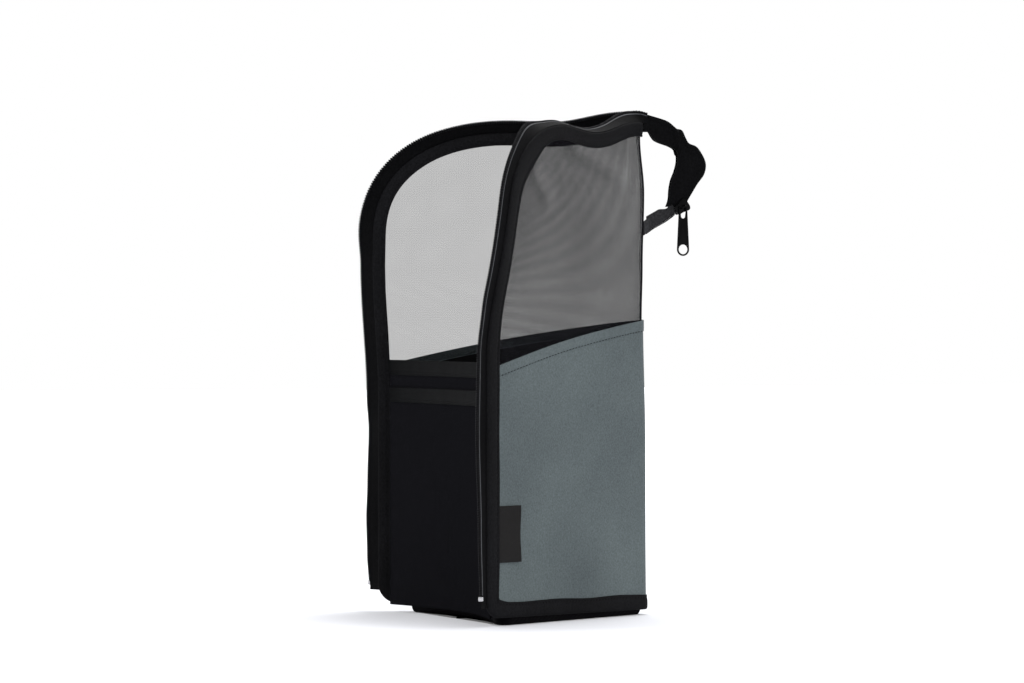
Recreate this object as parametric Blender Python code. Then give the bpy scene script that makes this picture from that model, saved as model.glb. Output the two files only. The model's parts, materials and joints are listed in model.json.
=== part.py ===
"""Mesh kitchen tool case: a stand-up fabric case that opens like a book about its spine.

Two side panels, grey cloth below and black mesh above, meet in a rounded spine. A bound edge with
half a coil zipper runs up the front of each panel and back along its top. Behind the spine the two
zipper tapes leave the case and come back to it as a carrying loop, with the slider and its pull
tab at the foot of the loop. Mesh pockets close the lower front, and a soft base closes the bottom.
Metres, +Z up, +Y towards the spine, +X towards the right-hand panel.
"""

import math

import bmesh
import bpy
from mathutils import Matrix, Vector

# Plan of the case
HALF_OPENING = math.radians(32)  # each panel's angle from the plane of symmetry
PANEL_LENGTH = 0.177  # zipper edge to the start of the spine's bend, along a panel
SPINE_RADIUS = 0.009  # bend of the cloth round the spine
SPINE_AXIS_Y = 0.068  # centre of that bend, ahead of the origin
SEAT_GAP = 0.0003  # gap that touching pieces keep

# Heights
FRONT_LIFT = 0.0056  # the panels' lower edge over the floor at the front
SPINE_LIFT = 0.0034  # the same at the spine
EDGE_TOP = 0.309  # top of the bound edge, below the zipper
CORNER_HEIGHT = 0.067  # its height
CORNER_POWER = 2.25  # 2 would be an ellipse
FOOT_RADIUS = 0.0125  # rounded lower front corner of a panel
SPINE_RISE = 0.0065  # how far the top edge climbs towards the spine

# Cloth, binding and zipper
CLOTH = 0.0006
MESH = 0.0004
LAYER_GAP = 0.0003  # between cloth and mesh where they overlap
BINDING_WIDTH = 0.0115
BINDING_LEAF = 0.0005
BINDING_SLOT = 0.0020  # room between the two leaves
TAPE_REACH = 0.0064  # zipper tape showing beyond the binding
TAPE_THICK = 0.0007
COIL_WIDTH = 0.0025
COIL_THICK = 0.0022
COIL_SEAT = 0.0006  # tape's edge to the coil
COIL_PITCH = 0.0036  # one rib stands for two turns of the real coil
ZIP_FOOT = 0.0165  # the end stop's lower end over the floor
TAPE_TAIL = 0.0045  # tape left below the stop
STOP_LENGTH = 0.0038
STOP_THICK = 0.0034

# Grey cloth: its top edge climbs from the front towards the spine
GREY_FRONT = 0.161  # at the binding's inner edge
GREY_SLOPE = 0.245
GREY_SAG = 0.45  # how much that slope eases, per metre
HEM = 0.0060
HEM_THICK = 0.0005
MESH_OVERLAP = 0.0055
LINING = 0.0004
LABEL_WIDTH = 0.0225
LABEL_LOW = 0.0395
LABEL_HIGH = 0.0745
LABEL_THICK = 0.0006

# Mesh pockets across the front
GUSSET_TOP = 0.163
POCKET_TOP = 0.1455
FRONT_BOW_TOP = 0.003  # how far the front folds in at its top
FRONT_BOW_FOOT = 0.015  # and at its foot
BAND_WIDTH = 0.0066
BAND_LEAF = 0.00045
FRONT_MESH = 0.0006
FRONT_FOOT = 0.0045  # lower edge of the pockets over the floor
GUSSET_SEAT = 0.0090  # where the tall pocket is sewn, back from the binding's fold
POCKET_SEAT = 0.0062  # the same for the short one

# Base
BASE_THICK = 0.0012
BASE_ROUND = 0.0038  # how far the belly of the base draws in
BASE_RIM = 0.0040  # the base's rim over the panels' lower edge
BASE_CORNER = 0.0070  # rounded front corners

# Carrying loop, behind the spine. Its places are distances behind the spine's face and heights
LOOP_AXIS_GAP = 0.0018  # spine binding's outer face to the line the loop swings about
PIVOT_RADIUS = 0.0013
PIVOT_REACH = 0.0030  # where the loop's tapes begin, behind that line
ROOT_HALF_WIDTH = 0.0021  # the sewn fold's half width on the case, at the top
ANCHOR_HALF_WIDTH = 0.0029  # and at the foot
LOOP_TAPE = 0.0006
LOOP_TOP = (0.3095, 0.3205)  # lower and upper edge of the tapes where they leave the spine
LOOP_OUTER = [(0.009, 0.3190), (0.0225, 0.3110), (0.036, 0.3010), (0.0430, 0.2885), (0.0390, 0.2770)]
LOOP_INNER = [(0.0075, 0.3045), (0.0170, 0.2995), (0.0230, 0.2930), (0.0215, 0.2835), (0.0183, 0.2745)]
LOOP_STEPS = 26
SPREAD = 0.0032  # how far one tape stands out past the other below the bend
SPREAD_FROM, SPREAD_RUN, SPREAD_FADE = 0.45, 0.20, 0.25  # shares of the loop's length
CHAIN_FOOT = (0.0006, 0.2440)  # lower end of the closed chain, at the spine
SLIDER_AT = (0.0265, 0.2615)  # the slider's centre, on the line of the chain
STRAP_WIDTH = 0.0048
LOOP_RIB_PITCH = 0.0030
TAPE_PITCH = 0.0045  # length of the zipper tape's facets
TAPE_GATHER = 0.62  # height of a tape where it is gathered over the spine, as a share of its width
COIL_FLAT = 0.8  # thickness of the coil there, as a share of its full one

# Slider and pull tab
SLIDER_LENGTH = 0.0100
SLIDER_WIDE = 0.0086
SLIDER_NARROW = 0.0064
PLATE = 0.0008
CHANNEL = 0.0029  # room between the slider's two plates
FLANGE = 0.00045
POST_WIDTH = 0.0020
POST_LENGTH = 0.0030
BRIDGE_HALF = 0.0019  # centre of the bridge to the centre of each foot
BRIDGE_WIDTH = 0.00075
BRIDGE_FOOT = 0.0005
BRIDGE_END = 0.0003  # reach of the bridge past the centres of its feet
BRIDGE_ROOM = 0.0020  # room under the bridge
BRIDGE_THICK = 0.0007
TAB_LENGTH = 0.0315
TAB_TOP_WIDTH = 0.0056
TAB_FOOT_WIDTH = 0.0078
TAB_THICK = 0.0008
TAB_BAR = 0.0007  # height of the bar under the bridge
TAB_EYE_WIDTH = 0.0042
TAB_EYE_HEIGHT = 0.0070
TAB_HOLE = 0.0062  # round hole in the foot

# How the cloth stands on each side: the right panel flares out, the left one leans open
RIGHT, LEFT = 1, -1
FLARE = {RIGHT: 0.0175, LEFT: 0.0040}
FLARE_FROM, FLARE_RISE = 0.165, 0.105  # where the flare starts, and the height it grows over
FLARE_POWER = 1.5  # how it grows from the spine to the front
LEAN = {RIGHT: 0.0, LEFT: 0.0045}
LEAN_FROM, LEAN_RISE = 0.140, 0.090
TOP_RAISE = {RIGHT: 0.0020, LEFT: 0.0008}
TOP_DIP = {RIGHT: 0.0032, LEFT: 0.0008}
CORNER_LENGTH = {RIGHT: 0.074, LEFT: 0.089}  # front-to-back reach of the rounded top corner
TAPE_CURL = {RIGHT: math.radians(75), LEFT: math.radians(40)}  # along the top, inwards
FRONT_CURL = {RIGHT: math.radians(45), LEFT: math.radians(28)}  # up the front, above the pockets
FRONT_CURL_FROM, FRONT_CURL_RISE = 0.170, 0.080
CURL_FROM, CURL_RUN = 0.022, 0.050  # where the tape starts to curl, and the length it takes
SPINE_CURL = math.radians(45)  # the curl where the tapes reach the spine
SPINE_CURL_RUN = 0.035
RISE_FROM = 0.35  # share of the top edge, past the corner, where it starts to climb
SIDE_NAME = {RIGHT: "right", LEFT: "left"}

EDGE_U = SEAT_GAP + TAPE_REACH + COIL_SEAT + COIL_WIDTH  # zipper edge to the binding's fold
SLOT_HALF = BINDING_SLOT / 2
LEAF_OUT = SLOT_HALF + BINDING_LEAF
BEND_ANGLE = math.pi / 2 - HALF_OPENING  # half of the spine's bend
SPINE_U = PANEL_LENGTH + SPINE_RADIUS * BEND_ANGLE  # the middle of the spine
SPINE_FACE_Y = SPINE_AXIS_Y + SPINE_RADIUS
LOOP_AXIS_Y = SPINE_FACE_Y + LEAF_OUT + LOOP_AXIS_GAP
TAB_BAR_X = CHANNEL / 2 + PLATE + BRIDGE_ROOM / 2
CLOTH_IN = SEAT_GAP / 6  # the layers' faces, out from the middle of a panel
CLOTH_OUT = CLOTH_IN + CLOTH
MESH_OUT = CLOTH_IN - LAYER_GAP


def material(name, colour, roughness, metallic=0.0):
    made = bpy.data.materials.new(name)
    made.use_nodes = True
    shader = made.node_tree.nodes["Principled BSDF"]
    shader.inputs["Base Color"].default_value = (*colour, 1.0)
    shader.inputs["Roughness"].default_value = roughness
    shader.inputs["Metallic"].default_value = metallic
    made.diffuse_color = (*colour, 1.0)
    return made


def finish(name, bm, finish_material, smooth_angle=35):
    bmesh.ops.recalc_face_normals(bm, faces=bm.faces)
    if bm.calc_volume(signed=True) < 0:
        bmesh.ops.reverse_faces(bm, faces=bm.faces)
    mesh = bpy.data.meshes.new(name)
    bm.to_mesh(mesh)
    bm.free()
    mesh.materials.append(finish_material)
    mesh.shade_smooth()
    mesh.set_sharp_from_angle(angle=math.radians(smooth_angle))
    made = bpy.data.objects.new(name, mesh)
    bpy.context.scene.collection.objects.link(made)
    return made


def loft(name, rings, finish_material, smooth_angle=35):
    """A closed solid through rings of points, each ring a closed section, with its ends capped."""
    bm = bmesh.new()
    rows = [[bm.verts.new(p) for p in ring] for ring in rings]
    count = len(rows[0])
    for a, b in zip(rows, rows[1:]):
        for i in range(count):
            j = (i + 1) % count
            bm.faces.new((a[i], a[j], b[j], b[i]))
    bm.faces.new(rows[0])
    bm.faces.new(rows[-1])
    bmesh.ops.triangulate(bm, faces=[f for f in bm.faces if len(f.verts) > 4])
    return finish(name, bm, finish_material, smooth_angle)


def sheet(name, across, up, place, low, high, finish_material):
    """A closed sheet of cloth. place(s, t, out) gives a point for s and t from 0 to 1, and low(s, t)
    and high(s, t) are how far its two faces stand out."""
    bm = bmesh.new()
    bmesh.ops.create_grid(bm, x_segments=across, y_segments=up, size=0.5)
    made = bmesh.ops.extrude_face_region(bm, geom=list(bm.faces), use_keep_orig=True)
    raised = {v for v in made["geom"] if isinstance(v, bmesh.types.BMVert)}
    for v in bm.verts:
        s, t = v.co.x + 0.5, v.co.y + 0.5
        v.co = place(s, t, (high if v in raised else low)(s, t))
    return finish(name, bm, finish_material)


def smooth_step(x):
    x = min(1.0, max(0.0, x))
    return x * x * (3 - 2 * x)


def skin(side, u, z, out=0.0):
    """The point of a side panel, or of the spine past PANEL_LENGTH, u along it from the zipper's
    edge, at height z, and out from the middle of its cloth."""
    if u <= PANEL_LENGTH:
        angle = HALF_OPENING
        along = PANEL_LENGTH - u
        share = along / PANEL_LENGTH
        out += FLARE[side] * smooth_step((z - FLARE_FROM) / FLARE_RISE) * share**FLARE_POWER
        along += LEAN[side] * smooth_step((z - LEAN_FROM) / LEAN_RISE) * share
    else:
        angle = HALF_OPENING + (u - PANEL_LENGTH) / SPINE_RADIUS
        along = 0.0
    reach = SPINE_RADIUS + out
    x = reach * math.cos(angle) + along * math.sin(HALF_OPENING)
    y = SPINE_AXIS_Y + reach * math.sin(angle) - along * math.cos(HALF_OPENING)
    return Vector((side * x, y, z))


def seam_height(u):
    """Height of the panels' lower edge over the floor."""
    share = min(1.0, max(0.0, u / PANEL_LENGTH))
    return FRONT_LIFT + (SPINE_LIFT - FRONT_LIFT) * share


def edge_height(side, u):
    """Height of the bound top edge, past the rounded corner."""
    start = EDGE_U + CORNER_LENGTH[side]
    share = min(1.0, max(0.0, (u - start) / (PANEL_LENGTH - start)))
    rise = SPINE_RISE * smooth_step((share - RISE_FROM) / (1 - RISE_FROM))
    dip = TOP_DIP[side] * math.sin(math.pi * share**0.75) ** 2
    settle = TOP_RAISE[side] * (1 - smooth_step(share))
    return EDGE_TOP + settle + rise - dip


def corner_top(side, u, inset=0.0):
    """Height of the bound edge over any u, taken in by inset."""
    start = EDGE_U + inset
    length = CORNER_LENGTH[side] - inset
    if u >= start + length:
        return edge_height(side, u) - inset
    height = CORNER_HEIGHT + TOP_RAISE[side] - inset
    base = EDGE_TOP - CORNER_HEIGHT
    share = min(1.0, max(0.0, 1 - (u - start) / length))
    return base + height * (1 - share**CORNER_POWER) ** (1 / CORNER_POWER)


def edge_path(side):
    """The fold of the binding in the panel's own plane, as (u, z, outward u, outward z), from the
    spine's foot, round the lower front corner, up the front and back along the top."""
    bottom = [(u, seam_height(u)) for u in steps(PANEL_LENGTH, EDGE_U + FOOT_RADIUS, 6)]
    centre = (EDGE_U + FOOT_RADIUS, seam_height(EDGE_U + FOOT_RADIUS) + FOOT_RADIUS)
    foot = [
        (centre[0] - FOOT_RADIUS * math.sin(a), centre[1] - FOOT_RADIUS * math.cos(a))
        for a in steps(0, math.pi / 2, 5)
    ]
    corner_foot = EDGE_TOP - CORNER_HEIGHT
    front = [(EDGE_U, z) for z in steps(centre[1], corner_foot, 16)]
    power = 2 / CORNER_POWER
    corner = [
        (
            EDGE_U + CORNER_LENGTH[side] * (1 - math.cos(a) ** power),
            corner_foot + (CORNER_HEIGHT + TOP_RAISE[side]) * math.sin(a) ** power,
        )
        for a in steps(0, math.pi / 2, 12)
    ]
    start = EDGE_U + CORNER_LENGTH[side]
    top = [(u, edge_height(side, u)) for u in steps(start, PANEL_LENGTH, 9)]
    points = bottom + foot[1:] + front[1:] + corner[1:] + top[1:]
    path = []
    for i, (u, z) in enumerate(points):
        before, after = points[max(0, i - 1)], points[min(len(points) - 1, i + 1)]
        run = Vector((after[0] - before[0], after[1] - before[1])).normalized()
        path.append((u, z, -run.y, run.x))
    path[0] = (*points[0], 0.0, -1.0)
    path[-1] = (*points[-1], 0.0, 1.0)
    return path


def steps(start, end, count):
    return [start + (end - start) * i / count for i in range(count + 1)]


def binding_section():
    """A folded binding as (inward, out) points: two leaves joined by a rounded fold."""
    soft = BINDING_LEAF
    return [
        (soft, -LEAF_OUT),
        (0.0, -SLOT_HALF),
        (0.0, SLOT_HALF),
        (soft, LEAF_OUT),
        (BINDING_WIDTH, LEAF_OUT),
        (BINDING_WIDTH, SLOT_HALF),
        (BINDING_LEAF, SLOT_HALF),
        (BINDING_LEAF, -SLOT_HALF),
        (BINDING_WIDTH, -SLOT_HALF),
        (BINDING_WIDTH, -LEAF_OUT),
    ]


def edge_binding(side, black):
    """Binding folded over a panel's lower, front and top edges in one run."""
    rings = []
    for u, z, out_u, out_z in edge_path(side):
        u = min(u, PANEL_LENGTH - SEAT_GAP / 2)
        rings.append(
            [skin(side, u - inward * out_u, z - inward * out_z, out) for inward, out in binding_section()]
        )
    return loft(f"{SIDE_NAME[side]}_edge_binding", rings, black)


def tape_place(side, u, z, out_u, out_z, reach, out):
    """A point of the zipper, reach beyond the binding's fold. Along the top the tape curls in."""
    curl = FRONT_CURL[side] * smooth_step((z - FRONT_CURL_FROM) / FRONT_CURL_RISE)
    curl += (TAPE_CURL[side] - curl) * smooth_step((u - CURL_FROM) / CURL_RUN)
    curl += (SPINE_CURL - curl) * smooth_step(1 - (PANEL_LENGTH - u) / SPINE_CURL_RUN)
    flat = reach * math.cos(curl) + (TAPE_THICK / 2 + out) * math.sin(curl)
    lifted = -reach * math.sin(curl) + out * math.cos(curl)
    return skin(side, u + flat * out_u, z + flat * out_z, lifted)


def zip_path(side, foot):
    """The part of the edge that carries the zipper: from height foot up the front to the spine."""
    ahead = [station for station in edge_path(side) if station[1] > foot + FOOT_RADIUS]
    u, z, out_u, out_z = ahead[-1]
    ahead[-1] = (PANEL_LENGTH - SEAT_GAP / 2, z, out_u, out_z)
    return [(EDGE_U, foot, -1.0, 0.0)] + ahead


def zip_tape(side, black):
    low, high = SEAT_GAP, SEAT_GAP + TAPE_REACH
    half = TAPE_THICK / 2
    section = [(low, -half), (low, half), (high, half), (high, -half)]
    stations = resample(zip_path(side, ZIP_FOOT - TAPE_TAIL), TAPE_PITCH)
    rings = [[tape_place(side, *station, *p) for p in section] for station in stations]
    return loft(f"{SIDE_NAME[side]}_zip_tape", rings, black)


def resample(stations, pitch):
    """Stations every pitch or so along a path of tuples whose first two values are a place."""
    lengths = [0.0]
    for a, b in zip(stations, stations[1:]):
        lengths.append(lengths[-1] + math.dist(a[:2], b[:2]))
    count = round(lengths[-1] / pitch)
    made, k = [], 0
    for i in range(count + 1):
        want = lengths[-1] * i / count
        while k < len(lengths) - 2 and lengths[k + 1] < want:
            k += 1
        share = (want - lengths[k]) / (lengths[k + 1] - lengths[k])
        made.append(tuple(a + (b - a) * share for a, b in zip(stations[k], stations[k + 1])))
    return made


def ribbed_rings(stations, place, near, far, thick):
    """Square sections that swell and shrink in turn, as the turns of a coil do."""
    rings = []
    for i, station in enumerate(stations):
        half = thick / 2 * (1.0 if i % 2 else 0.62)
        end = far if i % 2 else far - (far - near) * 0.28
        section = [(near, -half), (near, half), (end, half * 0.7), (end, -half * 0.7)]
        rings.append([place(station, reach, out) for reach, out in section])
    return rings


def zip_coil(side, nylon):
    near = SEAT_GAP + TAPE_REACH + COIL_SEAT
    rings = ribbed_rings(
        resample(zip_path(side, ZIP_FOOT + STOP_LENGTH), COIL_PITCH / 2),
        lambda station, reach, out: tape_place(side, *station, reach, out),
        near,
        near + COIL_WIDTH,
        COIL_THICK,
    )
    return loft(f"{SIDE_NAME[side]}_zip_coil", rings, nylon)


def end_stop(side, metal):
    """Crimped metal stop under the lowest turn of the coil."""
    near = SEAT_GAP + TAPE_REACH + COIL_SEAT
    half = STOP_THICK / 2
    bevel = STOP_THICK * 0.22
    far = near + COIL_WIDTH
    section = [
        (near, -half + bevel),
        (near, half - bevel),
        (near + bevel, half),
        (far - bevel, half),
        (far, half - bevel),
        (far, -half + bevel),
        (far - bevel, -half),
        (near + bevel, -half),
    ]
    rings = []
    for z in (ZIP_FOOT, ZIP_FOOT + STOP_LENGTH - SEAT_GAP):
        rings.append([tape_place(side, EDGE_U, z, -1.0, 0.0, *p) for p in section])
    return loft(f"{SIDE_NAME[side]}_end_stop", rings, metal)


def grey_top(u):
    """Height of the grey cloth's hem."""
    run = min(u, SPINE_U) - (EDGE_U + BINDING_WIDTH)
    return GREY_FRONT + GREY_SLOPE * run - GREY_SAG * run * run


def cloth_foot(u, inset):
    """Lowest point of a panel's cloth over u, with the rounded lower front corner."""
    centre = EDGE_U + FOOT_RADIUS
    if u >= centre:
        return seam_height(u) + inset
    radius = FOOT_RADIUS - inset
    drop = math.sqrt(max(0.0, radius * radius - (centre - u) ** 2))
    return seam_height(centre) + FOOT_RADIUS - drop


def panel_columns(inset, count):
    """u at each column of a panel: four under the binding, and the rest evenly to the spine."""
    edge = EDGE_U + BINDING_WIDTH + SEAT_GAP
    under = [EDGE_U + inset + (edge - EDGE_U - inset) * (i / 3) ** 1.5 for i in range(4)]
    return under + steps(edge + SEAT_GAP, PANEL_LENGTH - SEAT_GAP / 2, count - 4)


def panel_sheet(name, side, foot, top, low, high, across, up, finish_material, hem=0.0):
    """A layer of a side panel between the heights foot(u) and top(u)."""
    columns = panel_columns(BINDING_LEAF + SEAT_GAP, across)
    plain = up - 2 if hem else up

    def place(s, t, out):
        u = columns[round(s * across)]
        row = round(t * up)
        rise = top(u) - foot(u)
        if row <= plain:
            return skin(side, u, foot(u) + (rise - hem) * row / plain, out)
        return skin(side, u, top(u) - (hem - SEAT_GAP if row == plain + 1 else 0.0), out)

    def outer(s, t):
        raised = hem and round(t * up) > plain and columns[round(s * across)] > columns[3]
        return high + (HEM_THICK if raised else 0.0)

    return sheet(name, across, up, place, lambda s, t: low, outer, finish_material)


def side_panels(side, grey, net, black):
    """The layers of one side: grey cloth with its hem, mesh above it and lining within."""
    name = SIDE_NAME[side]
    inset = BINDING_LEAF + SEAT_GAP

    def foot(u):
        return cloth_foot(u, inset)

    panel_sheet(f"{name}_outer_panel", side, foot, grey_top, CLOTH_IN, CLOTH_OUT, 16, 7, grey, HEM)
    panel_sheet(
        f"{name}_mesh_window",
        side,
        lambda u: grey_top(u) - MESH_OVERLAP,
        lambda u: corner_top(side, u, inset + 3 * SEAT_GAP),
        MESH_OUT - MESH,
        MESH_OUT,
        20,
        18,
        net,
    )
    lining_top = MESH_OVERLAP + SEAT_GAP
    panel_sheet(
        f"{name}_lining",
        side,
        foot,
        lambda u: grey_top(u) - lining_top,
        MESH_OUT - LINING,
        MESH_OUT,
        12,
        5,
        black,
    )


def spine_place(s, z, out):
    """A point round the spine, from the left panel at s 0 to the right one at s 1."""
    last = SPINE_U - PANEL_LENGTH - SEAT_GAP / 2
    run = last * (2 * s - 1)
    return skin(LEFT if run < 0 else RIGHT, SPINE_U - abs(run), z, out)


def spine_sheet(name, heights, low, highs, finish_material):
    """Cloth bent round the spine, with a row at each of the heights and its outer face at highs."""
    rows = len(heights) - 1

    def place(s, t, out):
        return spine_place(s, heights[round(t * rows)], out)

    def outer(s, t):
        return highs[round(t * rows)]

    return sheet(name, 10, rows, place, lambda s, t: low, outer, finish_material)


def spine_pieces(grey, net, black):
    inset = BINDING_LEAF + SEAT_GAP
    top = edge_height(RIGHT, PANEL_LENGTH)
    hem = grey_top(PANEL_LENGTH)
    thick = CLOTH_OUT + HEM_THICK
    heights = [SPINE_LIFT + inset, hem - HEM, hem - HEM + SEAT_GAP, hem]
    spine_sheet("spine_cloth", heights, CLOTH_IN, [CLOTH_OUT, CLOTH_OUT, thick, thick], grey)
    spine_sheet("spine_mesh", [hem - MESH_OVERLAP, top - inset], MESH_OUT - MESH, [MESH_OUT] * 2, net)
    lining = [SPINE_LIFT + inset, hem - MESH_OVERLAP - SEAT_GAP]
    spine_sheet("spine_lining", lining, MESH_OUT - LINING, [MESH_OUT] * 2, black)
    for name, z, direction in (("spine_foot_binding", SPINE_LIFT, 1), ("spine_top_binding", top, -1)):
        rings = []
        for s in steps(0, 1, 10):
            rings.append([spine_place(s, z + direction * inward, out) for inward, out in binding_section()])
        loft(name, rings, black)


def side_label(black):
    """Bare woven label, caught under the right panel's front binding."""
    start = EDGE_U + BINDING_WIDTH + SEAT_GAP
    low = CLOTH_OUT + SEAT_GAP

    def place(s, t, out):
        return skin(RIGHT, start + LABEL_WIDTH * s, LABEL_LOW + (LABEL_HIGH - LABEL_LOW) * t, out)

    return sheet("side_label", 3, 3, place, lambda s, t: low, lambda s, t: low + LABEL_THICK, black)


def front_bow(z):
    """How far the front folds in, half way between the panels, at height z."""
    share = 1 - min(1.0, z / GUSSET_TOP)
    return FRONT_BOW_TOP + (FRONT_BOW_FOOT - FRONT_BOW_TOP) * share**1.6


def front_place(seat, s, z, out, short=0.0):
    """A point across the front, from the left panel at s 0 to the right one at s 1, at height z and
    out towards the front. seat is how far behind the binding's fold the ends are sewn, and short is
    cut off each end."""
    inner = -(LEAF_OUT + 2 * SEAT_GAP)
    ends = [skin(side, EDGE_U + seat, z, inner) for side in (LEFT, RIGHT)]
    share = short / (ends[1].x - ends[0].x)
    s = share + s * (1 - 2 * share)
    point = ends[0].lerp(ends[1], s)
    point.y += 4 * s * (1 - s) * front_bow(z) - out
    return point


def front_pocket(name, seat, top, net, black):
    """A mesh pocket across the front, with a folded band along its top edge."""
    slot = FRONT_MESH / 2 + SEAT_GAP
    leaf = slot + BAND_LEAF
    heights = steps(FRONT_FOOT, top - BAND_WIDTH, 4) + [top - BAND_LEAF - SEAT_GAP]

    def place(s, t, out):
        return front_place(seat, s, heights[round(t * 5)], out)

    half = FRONT_MESH / 2
    sheet(f"{name}_mesh", 14, 5, place, lambda s, t: -half, lambda s, t: half, net)
    section = [
        (0.0, -slot),
        (0.0, slot),
        (BAND_LEAF, leaf),
        (BAND_WIDTH, leaf),
        (BAND_WIDTH, slot),
        (BAND_LEAF, slot),
        (BAND_LEAF, -slot),
        (BAND_WIDTH, -slot),
        (BAND_WIDTH, -leaf),
        (BAND_LEAF, -leaf),
    ]
    short = leaf * math.tan(HALF_OPENING)
    rings = [[front_place(seat, s, top - down, out, short) for down, out in section] for s in steps(0, 1, 14)]
    loft(f"{name}_band", rings, black)


def base_front(x):
    """Front edge of the base over x: it lies just behind the tall pocket's foot."""
    end = front_place(GUSSET_SEAT, 1.0, FRONT_FOOT, 0.0)
    behind = end.y + FRONT_MESH / 2 + SEAT_GAP
    return behind + front_bow(FRONT_FOOT) * (1 - (x / end.x) ** 2), -2 * front_bow(FRONT_FOOT) * x / end.x**2


def base_outline():
    """The base's rim as (x, y, outward x, outward y), from the middle of the spine round the right
    side and the front and back up the left side."""
    reach = SPINE_RADIUS - LEAF_OUT - SEAT_GAP

    def corner_centre(x):
        y, slope = base_front(x)
        normal = Vector((slope, -1.0)).normalized()
        return Vector((x, y)) - normal * BASE_CORNER, normal

    def beyond_side(x):
        centre, _ = corner_centre(x)
        outward = centre.x * math.cos(HALF_OPENING) + (centre.y - SPINE_AXIS_Y) * math.sin(HALF_OPENING)
        return outward + BASE_CORNER - reach

    near, far = 0.0, EDGE_U + PANEL_LENGTH
    for _ in range(60):
        middle = (near + far) / 2
        near, far = (middle, far) if beyond_side(middle) < 0 else (near, middle)
    centre, front_normal = corner_centre(near)
    half = []
    for angle in steps(math.pi / 2, HALF_OPENING, 5):
        out = Vector((math.cos(angle), math.sin(angle)))
        half.append((Vector((0, SPINE_AXIS_Y)) + out * reach, out))
    side_out = Vector((math.cos(HALF_OPENING), math.sin(HALF_OPENING)))
    side_end = centre + side_out * BASE_CORNER
    half += [(half[5][0].lerp(side_end, share), side_out) for share in (0.33, 0.67)]
    turn = math.pi * 3 / 2 + math.atan(base_front(near)[1])
    for angle in steps(HALF_OPENING, turn - 2 * math.pi, 6):
        out = Vector((math.cos(angle), math.sin(angle)))
        half.append((centre + out * BASE_CORNER, out))
    for x in steps(near, 0.0, 6)[1:]:
        y, slope = base_front(x)
        half.append((Vector((x, y)), Vector((slope, -1.0)).normalized()))
    right = [(p.x, p.y, out.x, out.y) for p, out in half]
    left = [(-x, y, -out_x, out_y) for x, y, out_x, out_y in right[1:-1]]
    return right + left[::-1]


def base(black):
    """Soft base, like a shallow tray: a flat floor, a drawn-in belly and a rim within the panels."""
    outline = base_outline()
    front, back = min(p[1] for p in outline), max(p[1] for p in outline)

    def ring(angle, wall):
        points = []
        for x, y, out_x, out_y in outline:
            rim = FRONT_LIFT + (SPINE_LIFT - FRONT_LIFT) * (y - front) / (back - front) + BASE_RIM
            inward = wall + (BASE_ROUND - wall) * (1 - math.cos(angle))
            points.append((x - inward * out_x, y - inward * out_y, rim - (rim - wall) * math.sin(angle)))
        return points

    under = [ring(angle, 0.0) for angle in steps(math.pi / 2, 0.0, 5)]
    within = [ring(angle, BASE_THICK) for angle in steps(0.0, math.pi / 2, 5)]
    return loft("base", under + within, black)


def curve_through(points, count):
    """Evenly counted points of a smooth curve through points."""
    made = []
    spans = len(points) - 1
    for i in range(count + 1):
        at = min(i / count * spans, spans - 1e-9)
        k = int(at)
        p = [Vector(points[min(max(j, 0), spans)]) for j in (k - 1, k, k + 1, k + 2)]
        t = at - k
        made.append(
            0.5
            * (
                2 * p[1]
                + (p[2] - p[0]) * t
                + (2 * p[0] - 5 * p[1] + 4 * p[2] - p[3]) * t**2
                + (3 * p[1] - p[0] - 3 * p[2] + p[3]) * t**3
            )
        )
    return made


def behind(point, x=0.0):
    """A place of the loop in space: point is how far behind the spine's face, and the height."""
    return Vector((x, SPINE_FACE_Y + point[0], point[1]))


def chain_line():
    """Unit vector down the closed chain, from the slider to the spine, and the one across it."""
    down = (Vector(CHAIN_FOOT) - Vector(SLIDER_AT)).normalized()
    return down, Vector((down.y, -down.x))


def loop_edges():
    """The outer and inner edges of the loop's open tapes, from the spine's top to the slider."""
    down, across = chain_line()
    start = LOOP_AXIS_Y + PIVOT_REACH - SPINE_FACE_Y
    entry = Vector(SLIDER_AT) - down * (SLIDER_LENGTH / 2 + SEAT_GAP)
    outer = curve_through([(start, LOOP_TOP[1]), *LOOP_OUTER, tuple(entry - across * COIL_WIDTH)], LOOP_STEPS)
    inner_end = entry + across * (STRAP_WIDTH + COIL_WIDTH)
    inner = curve_through([(start, LOOP_TOP[0]), *LOOP_INNER, tuple(inner_end)], LOOP_STEPS)
    return outer, inner


def loop_pieces(black, nylon):
    """The zipper's two tapes, free of the case, side by side with their coils on the outer edge."""
    outer, inner = loop_edges()
    coil_start = 3
    coil_half = COIL_THICK / 2
    for side in (LEFT, RIGHT):
        near, far = side * SEAT_GAP / 2, side * (SEAT_GAP / 2 + LOOP_TAPE)
        tape, coil = [], []
        for i, (edge, root) in enumerate(zip(outer, inner)):
            inward = (root - edge).normalized()
            if side == RIGHT:
                share = i / LOOP_STEPS
                grown = smooth_step((share - SPREAD_FROM) / SPREAD_RUN)
                root = root - inward * SPREAD * grown * smooth_step((1 - share) / SPREAD_FADE)
            top = edge + inward * (COIL_WIDTH + SEAT_GAP)
            tape.append([behind(p, x) for p, x in ((top, near), (top, far), (root, far), (root, near))])
            coil.append((edge.x, edge.y, inward.x, inward.y))
        loft(f"loop_tape_{SIDE_NAME[side]}", tape, black)
        stations = resample(coil[coil_start:], LOOP_RIB_PITCH / 2)
        middle = side * (SEAT_GAP / 2 + coil_half)

        def place(station, reach, out):
            y, z, in_y, in_z = station
            depth = COIL_WIDTH - reach
            return behind((y + in_y * depth, z + in_z * depth), middle + out)

        ribs = ribbed_rings(stations, place, 0.0, COIL_WIDTH, COIL_THICK)
        loft(f"loop_coil_{SIDE_NAME[side]}", ribs, nylon)


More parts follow.
